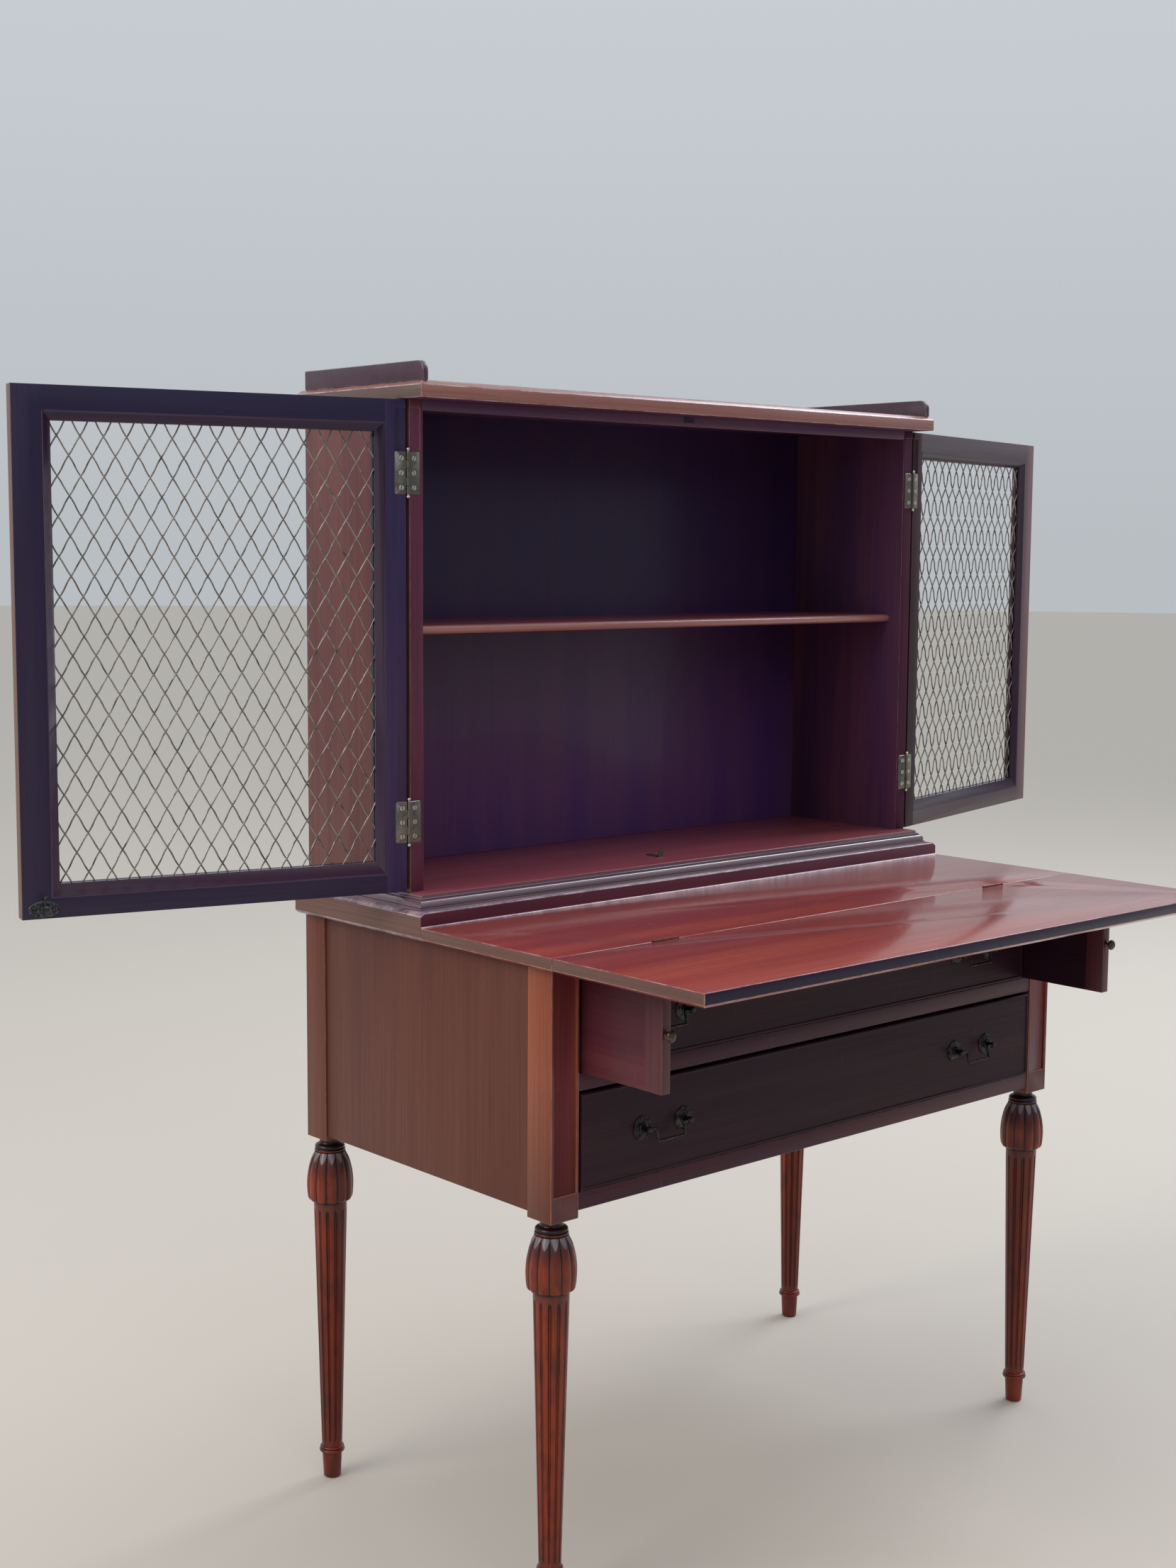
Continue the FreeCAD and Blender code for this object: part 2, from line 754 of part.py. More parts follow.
# Bent wire that hangs from the two eyes of a pull
def bail(pull_x, z):
    end_x = bail_half_width + bail_end_length
    low = Vector(0, -bail_lean, -bail_drop)
    corners = [
        Vector(-end_x, 0, 0),
        Vector(-bail_half_width, 0, 0),
        Vector(-bail_half_width, 0, 0).add(low),
        Vector(bail_half_width, 0, 0).add(low),
        Vector(bail_half_width, 0, 0),
        Vector(end_x, 0, 0),
    ]
    path = Part.makePolygon(corners)
    points = ring(bail_wire_radius, 0, bail_wire_sides)
    section = Part.makePolygon(points + [points[0]])
    section.Placement = FreeCAD.Placement(corners[0], FreeCAD.Rotation(Vector(0, 0, 1), Vector(1, 0, 0)))
    wire = Part.Wire(path.Edges).makePipeShell([section], True, False, 1)
    wire.translate(Vector(pull_x, bail_pivot_y, z))
    return wire


# Side of the hutch, rabbeted behind for the back panel and let in for two hinge leaves
def hutch_side():
    side = box(-hutch_half, -hutch_inner_x, hutch_y, hutch_back_y, hutch_floor_z, hutch_ceiling_z)
    cuts = [box(-hutch_inner_x - hutch_back_rabbet, -hutch_inner_x + overrun, hutch_back_front_y,
                hutch_back_y + overrun, hutch_floor_z - overrun, hutch_ceiling_z + overrun)]
    leaf_y = case_leaf_y()
    for z in hinge_base_zs:
        cuts.append(box(-hutch_half - overrun, pin_x + case_leaf_width, hutch_y - overrun,
                        leaf_y + hinge_leaf_thickness, z, z + hinge_height))
    return side.cut(cuts)


def case_leaf_y():
    return pin_y + hinge_leaf_gap / 2


def hutch_floor():
    return box(-hutch_half, hutch_half, floor_front_y, hutch_back_y, thick_top_z, hutch_floor_z)


def hutch_back():
    half = hutch_inner_x + hutch_back_rabbet
    return box(-half, half, hutch_back_front_y, hutch_back_y, hutch_floor_z, hutch_ceiling_z)


# Shelf with a rounded front edge
def hutch_shelf():
    low_z = hutch_floor_z + shelf_rise
    high_z = low_z + shelf_thickness
    front = hutch_y + shelf_setback
    round_y = front + shelf_thickness / 2
    x = -hutch_inner_x
    edges = [
        arc(Vector(x, round_y, low_z), Vector(x, front, (low_z + high_z) / 2), Vector(x, round_y, high_z)),
        line(Vector(x, round_y, high_z), Vector(x, hutch_back_front_y, high_z)),
        line(Vector(x, hutch_back_front_y, high_z), Vector(x, hutch_back_front_y, low_z)),
        line(Vector(x, hutch_back_front_y, low_z), Vector(x, round_y, low_z)),
    ]
    return Part.Face(Part.Wire(edges)).extrude(Vector(2 * hutch_inner_x, 0, 0))


def hutch_top_rail():
    return box(-hutch_inner_x, hutch_inner_x, hutch_y, hutch_y + hutch_rail_thickness,
               hutch_ceiling_z - hutch_rail_height, hutch_ceiling_z)


def hutch_top():
    board = box(-crown_half, crown_half, crown_front_y, crown_back_y, hutch_ceiling_z, crown_top_z)
    cuts = both_sides_along_y(crown_half, crown_top_z, -1, crown_front_y, crown_back_y,
                              crown_chamfer_width, crown_chamfer_height)
    cuts.append(chamfer_along_x(crown_front_y, crown_top_z, 1, -1, crown_half,
                                crown_chamfer_width, crown_chamfer_height))
    return board.cut(cuts)


# Low rail round the back and both ends of the top, with its front corners rounded
def top_gallery():
    outer = crown_half - gallery_side_setback
    inner = outer - gallery_thickness
    front = crown_front_y + gallery_front_setback
    back = crown_back_y - gallery_back_setback
    high_z = crown_top_z + gallery_height
    round_start = high_z - gallery_corner_radius
    half = math.sqrt(1 / 2)
    middle = Vector(-outer, front + gallery_corner_radius * (1 - half), round_start + gallery_corner_radius * half)
    edges = [
        line(Vector(-outer, front, crown_top_z), Vector(-outer, front, round_start)),
        arc(Vector(-outer, front, round_start), middle, Vector(-outer, front + gallery_corner_radius, high_z)),
        line(Vector(-outer, front + gallery_corner_radius, high_z), Vector(-outer, back, high_z)),
        line(Vector(-outer, back, high_z), Vector(-outer, back, crown_top_z)),
        line(Vector(-outer, back, crown_top_z), Vector(-outer, front, crown_top_z)),
    ]
    end_rail = Part.Face(Part.Wire(edges)).extrude(Vector(gallery_thickness, 0, 0))
    back_rail = box(-inner, inner, back - gallery_thickness, back, crown_top_z, high_z)
    return end_rail.fuse([back_rail, mirrored(end_rail)]).removeSplitter()


# Moulding mitred round the front and both ends of the hutch floor: a foot, a round and two fillets
def base_moulding():
    round_z = thick_top_z + moulding_foot_height
    fillet_z = round_z + moulding_round_height
    lip_z = fillet_z + moulding_fillet_height
    half = math.sqrt(1 / 2)
    round_width = moulding_round_reach - moulding_fillet_reach
    middle = Vector(-hutch_half - moulding_fillet_reach - round_width * half, hutch_back_y,
                    round_z + moulding_round_height * half)
    corners = [
        (0, thick_top_z),
        (moulding_foot_reach, thick_top_z),
        (moulding_foot_reach, round_z),
        (moulding_round_reach, round_z),
        (moulding_fillet_reach, fillet_z),
        (moulding_fillet_reach, lip_z),
        (moulding_lip_reach, lip_z),
        (moulding_lip_reach, lip_z + moulding_lip_height),
        (0, lip_z + moulding_lip_height),
    ]
    points = [Vector(-hutch_half - reach, hutch_back_y, z) for reach, z in corners]
    edges = []
    for index, point in enumerate(points):
        after = points[(index + 1) % len(points)]
        if index == 3:
            edges.append(arc(point, middle, after))
        else:
            edges.append(line(point, after))
    path = Part.makePolygon([
        Vector(-hutch_half, hutch_back_y, thick_top_z),
        Vector(-hutch_half, floor_front_y, thick_top_z),
        Vector(hutch_half, floor_front_y, thick_top_z),
        Vector(hutch_half, hutch_back_y, thick_top_z),
    ])
    return Part.Wire(path.Edges).makePipeShell([Part.Wire(edges)], True, False, 1)


# Rabbet and sight opening of the left door as x0, x1, z0, z1
def rabbet_edges():
    return (door_hinge_x + rabbet_hinge_margin, door_free_x - rabbet_free_margin,
            door_low_z + rabbet_low_margin, door_high_z - rabbet_high_margin)


def sight_edges():
    x0, x1, z0, z1 = rabbet_edges()
    return x0 + bead_side_width, x1 - bead_side_width, z0 + bead_low_width, z1 - bead_high_width


def door_leaf_y():
    return pin_y - hinge_leaf_gap / 2 - hinge_leaf_thickness


def door_frame():
    frame = box(door_hinge_x, door_free_x, door_outer_y, door_inner_y, door_low_z, door_high_z)
    x0, x1, z0, z1 = rabbet_edges()
    cuts = [box(x0, x1, grille_front_y, door_inner_y + overrun, z0, z1)]
    x0, x1, z0, z1 = sight_edges()
    cuts.append(box(x0, x1, door_outer_y - overrun, door_inner_y + overrun, z0, z1))
    for z in hinge_base_zs:
        cuts.append(box(door_hinge_x - overrun, pin_x + door_leaf_width, door_leaf_y(),
                        door_inner_y + overrun, z, z + hinge_height))
    return frame.cut(cuts)


# Sloping bead that holds the grille in its rabbet, mitred at the corners
def door_bead():
    outer = rabbet_edges()
    inner = sight_edges()
    step = bead_outer_step
    shoulder = (outer[0] + step, outer[1] - step, outer[2] + step, outer[3] - step)
    low_y = bead_front_y + bead_inner_height
    ring = box(outer[0], outer[1], bead_front_y, door_inner_y, outer[2], outer[3])
    slope = Part.makeLoft([rectangle(inner, low_y), rectangle(shoulder, door_inner_y)], True, True)
    hole = box(inner[0], inner[1], bead_front_y - overrun, low_y + overrun, inner[2], inner[3])
    return ring.cut([slope, hole])


def rectangle(edges, y):
    x0, x1, z0, z1 = edges
    corners = [Vector(x0, y, z0), Vector(x1, y, z0), Vector(x1, y, z1), Vector(x0, y, z1)]
    return Part.makePolygon(corners + [corners[0]])


# Where a slanted line through (x, z) enters and leaves the rabbet, less the gap at its ends
def clipped_wire(x, z, run, rise):
    x0, x1, z0, z1 = rabbet_edges()
    gap = wire_end_gap
    start = max((x0 + gap - x) / run, min((z0 + gap - z) / rise, (z1 - gap - z) / rise))
    end = min((x1 - gap - x) / run, max((z0 + gap - z) / rise, (z1 - gap - z) / rise))
    return start, end


# Flat-sided wires in two layers that cross and touch, one layer for each slant
def door_grille():
    x0, x1, z0, z1 = rabbet_edges()
    middle_x = (x0 + x1) / 2
    middle_z = (z0 + z1) / 2
    reach = math.ceil((x1 - x0) / cell_width / 2 + (z1 - z0) / cell_height / 2)
    wires = []
    for layer, slant in ((0, 1), (1, -1)):
        y = grille_front_y + (layer + 1 / 2) * wire_thickness
        rise = slant * cell_height
        for index in range(-reach, reach + 1):
            x = middle_x + (index + 1 / 2) * cell_width
            start, end = clipped_wire(x, middle_z, cell_width, rise)
            if (end - start) * cell_height > cell_height / 5:
                first = Vector(x + start * cell_width, y, middle_z + start * rise)
                last = Vector(x + end * cell_width, y, middle_z + end * rise)
                wires.append(straight_wire(first, last))
    return Part.makeCompound(wires)


def straight_wire(first, last):
    along = last.sub(first)
    across = along.cross(Vector(0, 1, 0))
    across.multiply(wire_thickness / 2 / across.Length)
    deep = Vector(0, wire_thickness / 2, 0)
    corners = [
        first.add(across).add(deep),
        first.sub(across).add(deep),
        first.sub(across).sub(deep),
        first.add(across).sub(deep),
    ]
    return polygon(corners).extrude(along)


# Upright barrel about the pin of a door hinge
def pin_rod(radius, z0, z1):
    barrel = turned([(radius, z0), (radius, z1)], hinge_sides)
    barrel.translate(Vector(pin_x, pin_y, 0))
    return barrel


# Knuckle heights of one hinge: even ones belong to the case leaf, odd ones to the door leaf
def knuckle_spans(base_z, first):
    height = hinge_height / hinge_knuckle_count
    spans = []
    for index in range(first, hinge_knuckle_count, 2):
        spans.append((base_z + index * height, base_z + (index + 1) * height))
    return spans


# Half a hinge: a plate with its own knuckles, cut away round the other half's knuckles
def hinge_half(base_z, plate, own, others):
    clear_radius = room_radius(hinge_knuckle_radius, hinge_knuckle_gap, hinge_sides)
    rooms = [pin_rod(clear_radius, low - hinge_knuckle_gap / 2, high + hinge_knuckle_gap / 2)
             for low, high in knuckle_spans(base_z, others)]
    knuckles = [pin_rod(hinge_knuckle_radius, low + hinge_knuckle_gap / 2, high - hinge_knuckle_gap / 2)
                for low, high in knuckle_spans(base_z, own)]
    return plate.cut(rooms).fuse(knuckles)


def case_hinge(base_z):
    leaf_y = case_leaf_y()
    plate = box(pin_x, pin_x + case_leaf_width, leaf_y, leaf_y + hinge_leaf_thickness,
                base_z, base_z + hinge_height)
    half = hinge_half(base_z, plate, 0, 1)
    pin = pin_rod(hinge_pin_radius, base_z, base_z + hinge_height)
    balls = [ball(hinge_ball_radius, Vector(pin_x, pin_y, z))
             for z in (base_z - hinge_ball_radius / 2, base_z + hinge_height + hinge_ball_radius / 2)]
    return half.fuse([pin] + balls).removeSplitter()


def door_hinge(base_z):
    leaf_y = door_leaf_y()
    plate = box(pin_x, pin_x + door_leaf_width, leaf_y, leaf_y + hinge_leaf_thickness,
                base_z, base_z + hinge_height)
    half = hinge_half(base_z, plate, 1, 0)
    bore = Part.makeCylinder(hinge_pin_radius + hinge_pin_clearance, hinge_height + 2 * overrun,
                             Vector(pin_x, pin_y, base_z - overrun))
    return half.cut(bore).removeSplitter()


def door_hinges_case():
    left = [case_hinge(z) for z in hinge_base_zs]
    return Part.makeCompound(left + [mirrored(half) for half in left])


def door_hinge_leaves():
    return Part.makeCompound([door_hinge(z) for z in hinge_base_zs])


# Oval plate on the left door with two ears and the pin of the elbow lever
def catch_plate():
    radius = catch_plate_height / 2
    straight = catch_plate_length / 2 - radius
    y0 = door_inner_y
    plate = box(catch_x - straight, catch_x + straight, y0, y0 + catch_plate_thickness,
                catch_z - radius, catch_z + radius)
    ends = []
    for side in (-1, 1):
        start = Vector(catch_x + side * straight, y0, catch_z)
        ends.append(rod(radius, catch_plate_sides, start, start.add(Vector(0, catch_plate_thickness, 0))))
    ear_inner = lever_width / 2 + lever_side_gap
    ears = []
    for side in (-1, 1):
        x0 = min(side * ear_inner, side * (ear_inner + catch_ear_thickness)) + catch_x
        ears.append(box(x0, x0 + catch_ear_thickness, y0, y0 + catch_ear_reach,
                        catch_pivot_z - catch_ear_height / 2, catch_pivot_z + catch_ear_height / 2))
    reach = ear_inner + catch_ear_thickness
    pin = Part.makeCylinder(catch_pin_radius, 2 * reach, Vector(catch_x - reach, catch_pivot_y, catch_pivot_z),
                            Vector(1, 0, 0))
    return plate.fuse(ends + ears + [pin]).removeSplitter()


# Elbow lever: an upright thumb piece and an arm with a barb that drops behind the strike
def catch_lever():
    x0 = catch_x - lever_width / 2
    along = Vector(1, 0, 0)
    tab_back_y = hutch_y + strike_setback + strike_thickness
    barb_y = tab_back_y + lever_barb_gap
    end_y = barb_y + lever_barb_length
    arm_z = hutch_floor_z + lever_arm_rise
    corners = [
        (catch_pivot_y, arm_z),
        (barb_y, arm_z),
        (barb_y, arm_z - lever_barb_depth),
        (end_y, arm_z),
        (end_y, arm_z + lever_arm_height / 2),
        (barb_y, arm_z + lever_arm_height),
        (catch_pivot_y, arm_z + lever_arm_height),
    ]
    arm = polygon([Vector(x0, y, z) for y, z in corners]).extrude(Vector(lever_width, 0, 0))
    hub = rod(lever_hub_radius, lever_sides, Vector(x0, catch_pivot_y, catch_pivot_z),
              Vector(x0 + lever_width, catch_pivot_y, catch_pivot_z))
    pivot = Vector(catch_x, catch_pivot_y, catch_pivot_z)
    thumb = Vector(catch_x, catch_pivot_y + lever_thumb_reach, catch_pivot_z + lever_thumb_rise)
    stem = rod(lever_stem_radius, lever_sides, pivot, thumb)
    bore = Part.makeCylinder(catch_pin_radius + catch_pin_clearance, lever_width + 2 * overrun,
                             Vector(x0 - overrun, catch_pivot_y, catch_pivot_z), along)
    return arm.fuse([hub, stem, ball(lever_thumb_radius, thumb)]).cut(bore).removeSplitter()


# Strike screwed to the hutch floor: a flat foot and an upright tab
def catch_strike():
    x0 = -strike_offset - strike_width / 2
    y0 = hutch_y + strike_setback
    foot = box(x0, x0 + strike_width, y0, y0 + strike_length, hutch_floor_z, hutch_floor_z + strike_thickness)
    tab = box(x0, x0 + strike_width, y0, y0 + strike_thickness, hutch_floor_z, hutch_floor_z + strike_height)
    return foot.fuse(tab).removeSplitter()


# Left door's pieces, drawn closed, then swung open about the hinge pins
def swung(shape):
    opened = shape.copy()
    opened.rotate(Vector(pin_x, pin_y, 0), Vector(0, 0, 1), -door_open_angle)
    return opened


def add_case(pieces):
    for side, name in ((-1, "left"), (1, "right")):
        pieces["leg_front_" + name] = turned_leg(side * leg_x, leg_front_y)
        pieces["leg_rear_" + name] = turned_leg(side * leg_x, leg_rear_y)
    add_pair(pieces, "post_front", front_post())
    add_pair(pieces, "post_rear", rear_post())
    add_pair(pieces, "side_panel", side_panel())
    add_pair(pieces, "loper_guide", loper_guide())
    pieces["case_back"] = case_back()
    pieces["bottom_rail"] = front_rail(post_inner_x, bottom_rail_z, bottom_rail_height)
    pieces["middle_rail"] = front_rail(post_inner_x, middle_rail_z, middle_rail_height)
    pieces["top_rail"] = front_rail(guide_outer_x, top_opening_z, top_rail_height)
    pieces["dust_board"] = dust_board()
    pieces["lower_runners"] = Part.makeCompound([lower_runner(), mirrored(lower_runner())])


def add_pair(pieces, name, right):
    pieces[name + "_right"] = right
    pieces[name + "_left"] = mirrored(right)


def add_top(pieces):
    pieces["desk_top_rear"] = desk_top_rear()
    pieces["desk_top_front"] = desk_top_front()
    pieces["writing_leaf"] = writing_leaf()
    pieces["leaf_hinge_fixed"] = leaf_hinge(1)
    pieces["leaf_hinge_moving"] = leaf_hinge(-1)
    add_pair(pieces, "loper", loper())
    add_pair(pieces, "loper_knob", loper_knob())


def add_drawer(pieces, name, front_half, box_half, floor_z, ceiling_z, pull_z):
    front_low = floor_z + drawer_front_low_gap
    front_high = ceiling_z - drawer_front_high_gap
    box_low = floor_z + drawer_running_gap
    pieces[name + "_drawer_front"] = drawer_front(front_half, front_low, front_high)
    pieces[name + "_drawer_box"] = drawer_box(box_half, box_low, front_high - drawer_side_drop)
    pieces[name + "_drawer_bottom"] = drawer_bottom(box_half, box_low)
    pieces[name + "_pull_plates"] = pull_plates(pull_z)
    pieces["bail_" + name + "_left"] = bail(-pull_offset, pull_z)
    pieces["bail_" + name + "_right"] = bail(pull_offset, pull_z)


def add_hutch(pieces):
    pieces["hutch_side_left"] = hutch_side()
    pieces["hutch_side_right"] = mirrored(hutch_side())
    pieces["hutch_bottom"] = hutch_floor()
    pieces["hutch_back"] = hutch_back()
    pieces["hutch_shelf"] = hutch_shelf()
    pieces["hutch_top_rail"] = hutch_top_rail()
    pieces["hutch_top"] = hutch_top()
    pieces["top_gallery"] = top_gallery()
    pieces["base_moulding"] = base_moulding()
    pieces["door_hinges_case"] = door_hinges_case()
    pieces["catch_strike"] = catch_strike()


def add_doors(pieces):
    makers = {
        "door_frame": door_frame,
        "door_bead": door_bead,
        "grille": door_grille,
        "hinge_leaves": door_hinge_leaves,
    }
    for name, make in makers.items():
        opened = swung(make())
        pieces["left_" + name] = opened
        pieces["right_" + name] = mirrored(opened)
    pieces["catch_plate"] = swung(catch_plate())
    pieces["catch_lever"] = swung(catch_lever())


def all_pieces():
    pieces = {}
    add_case(pieces)
    add_top(pieces)
    add_drawer(pieces, "lower", post_inner_x - lower_front_side_gap, lower_box_half(),
               lower_floor_z, middle_rail_z, lower_pull_z)
    add_drawer(pieces, "top", guide_outer_x - top_front_side_gap, guide_inner_x - drawer_side_gap,
               top_floor_z, top_opening_z, top_pull_z)
    add_hutch(pieces)
    add_doors(pieces)
    return pieces


os.makedirs("parts", exist_ok=True)
for name, shape in all_pieces().items():
    shape.exportStep("parts/" + name + ".step")
    print(name, "solids", len(shape.Solids), "valid", shape.isValid())
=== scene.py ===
import functools
import json
import math

import bmesh
import bpy
import numpy as np
from mathutils import Matrix, Vector


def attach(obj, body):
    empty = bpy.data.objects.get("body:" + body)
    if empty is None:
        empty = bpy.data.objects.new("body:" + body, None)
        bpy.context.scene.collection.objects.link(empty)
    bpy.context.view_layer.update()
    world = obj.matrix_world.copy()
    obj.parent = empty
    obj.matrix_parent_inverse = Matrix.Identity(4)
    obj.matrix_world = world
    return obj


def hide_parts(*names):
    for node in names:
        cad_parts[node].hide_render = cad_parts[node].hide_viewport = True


# A writing desk with a hutch, dressed for rendering. Shapes are worked out in millimetres
# and become metres when they are put into a mesh.

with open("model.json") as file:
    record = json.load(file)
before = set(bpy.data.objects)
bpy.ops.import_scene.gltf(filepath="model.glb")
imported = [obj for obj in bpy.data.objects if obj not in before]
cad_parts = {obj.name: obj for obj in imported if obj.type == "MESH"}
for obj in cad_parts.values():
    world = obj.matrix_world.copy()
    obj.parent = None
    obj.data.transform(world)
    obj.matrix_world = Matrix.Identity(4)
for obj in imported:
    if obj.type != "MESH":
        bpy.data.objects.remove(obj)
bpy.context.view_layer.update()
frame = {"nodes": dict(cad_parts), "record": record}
scene = bpy.context.scene
nodes = frame["nodes"]
metre = 0.001
print("frame loaded,", len(nodes), "nodes")

# where things are, in millimetres, the same numbers as the solids
place = {
    "legX": 434.4, "legFrontY": -94.5, "legRearY": 337.1,
    "drawerFaceY": -116.1, "pullX": 284.0, "lowerPullZ": 537.65, "topPullZ": 667.85,
    "knobX": 403.0, "knobY": -243.6, "knobZ": 681.5,
    "innerY": 142.4,  # the inner face of a closed door
    "pinX": -453.2, "pinY": 142.9, "openAngle": 194.3,
    "hingeZ": (850.0, 1256.5), "hingeHigh": 49.5,
    "catchX": -25.6, "catchZ": 803.0, "pivotY": 149.4, "pivotZ": 805.0,
}


# the place and aim of the camera that took the photograph
camera = {
    "eye": (-1.9202, -1.8102, 1.1967),  # metres
    "heading": 41.84,  # degrees from the back towards the right
    "tilt": -6.45,  # degrees above level
    "roll": 0.39,
    "lens": 47.95,  # on a sensor 36 mm high
}


def aimCamera():
    heading, tilt, roll = (math.radians(camera[key]) for key in ("heading", "tilt", "roll"))
    ahead = Vector((math.sin(heading) * math.cos(tilt), math.cos(heading) * math.cos(tilt), math.sin(tilt)))
    level = Vector((math.cos(heading), -math.sin(heading), 0))
    upright = level.cross(ahead)
    right = level * math.cos(roll) + upright * math.sin(roll)
    up = upright * math.cos(roll) - level * math.sin(roll)
    lens = bpy.data.cameras.new("camera")
    lens.lens = camera["lens"]
    lens.sensor_fit = "VERTICAL"
    lens.sensor_height = 36
    lens.clip_end = 200
    eye = bpy.data.objects.new("camera", lens)
    scene.collection.objects.link(eye)
    matrix = Matrix((right, up, -ahead)).transposed().to_4x4()
    matrix.translation = camera["eye"]
    eye.matrix_world = matrix
    scene.camera = eye


# colours are written as sRGB hex and turned to the linear values that nodes take
def linearColour(code):
    parts = np.array([int(code[i:i + 2], 16) for i in (1, 3, 5)]) / 255
    linear = np.where(parts <= 0.04045, parts / 12.92, ((parts + 0.055) / 1.055) ** 2.4)
    return (*linear.tolist(), 1.0)


# a node's inputs are links from other sockets, colour codes or plain values
def setInputs(tree, node, inputs):
    for key, value in inputs.items():
        if isinstance(value, bpy.types.NodeSocket):
            tree.links.new(value, node.inputs[key])
        else:
            node.inputs[key].default_value = linearColour(value) if isinstance(value, str) else value


def addNode(tree, kind, inputs, **settings):
    node = tree.nodes.new(kind)
    for key, value in settings.items():
        setattr(node, key, value)
    setInputs(tree, node, inputs)
    return node


def newMaterial(name):
    material = bpy.data.materials.new(name)
    material.use_nodes = True
    tree = material.node_tree
    tree.nodes.clear()
    shader = addNode(tree, "ShaderNodeBsdfPrincipled", {})
    addNode(tree, "ShaderNodeOutputMaterial", {"Surface": shader.outputs["BSDF"]})
    return material, tree, shader


def objectSpot(tree):
    return addNode(tree, "ShaderNodeTexCoord", {}).outputs["Object"]


# noise whose patches are as long as size says, in metres along, across and through the board
def patchNoise(tree, where, size, detail=3.0, roughness=0.55, turn=0.0):
    mapped = addNode(tree, "ShaderNodeMapping",
                     {"Vector": where, "Scale": size, "Rotation": (0, 0, math.radians(turn))},
                     vector_type="TEXTURE")
    noise = addNode(tree, "ShaderNodeTexNoise",
                    {"Vector": mapped.outputs["Vector"], "Scale": 1.0, "Detail": detail, "Roughness": roughness},
                    noise_dimensions="3D")
    return noise.outputs["Fac"]


# a value carried from 0 at low to 1 at high
def ramped(tree, value, low, high):
    node = addNode(tree, "ShaderNodeMapRange",
                   {"Value": value, "From Min": low, "From Max": high, "To Min": 0.0, "To Max": 1.0})
    return node.outputs["Result"]


def mathNode(tree, operation, *values):
    return addNode(tree, "ShaderNodeMath", dict(enumerate(values)), operation=operation).outputs["Value"]


def times(tree, first, second):
    return mathNode(tree, "MULTIPLY", first, second)


def mixedColour(tree, factor, first, second, blend="MIX"):
    node = addNode(tree, "ShaderNodeMix", {0: factor, 6: first, 7: second}, data_type="RGBA", blend_type=blend)
    return node.outputs[2]


# turns that lay the pattern's length along the grain
grainTurn = {
    "x": (0, 0, 0),
    "y": (0, 0, math.radians(90)),
    "z": (0, math.radians(-90), 0),
    "leftRail": (0, 0, math.radians(-place["openAngle"])),
    "rightRail": (0, 0, math.radians(place["openAngle"])),
}


def boardPlace(tree, grain):
    # object coordinates turned so that X runs along the grain
    node = addNode(tree, "ShaderNodeMapping", {"Vector": objectSpot(tree), "Rotation": grainTurn[grain]},
                   vector_type="TEXTURE")
    return node.outputs["Vector"]


# how a wood is stained and polished, with painted light and shade in its tones: three tones, the roughness
# and coat of its polish, how much it is scratched, how strong its dark streaks are, its index of refraction,
# and where it darkens: a colour, the heights in metres where that starts and ends, and its share
def stainAndPaintedLight(deep, body, bright, rough, coat, wear, grain, ior, shade=None):
    return {"deep": deep, "body": body, "bright": bright, "rough": rough, "coat": coat, "wear": wear,
            "grain": grain, "ior": ior, "shade": shade}
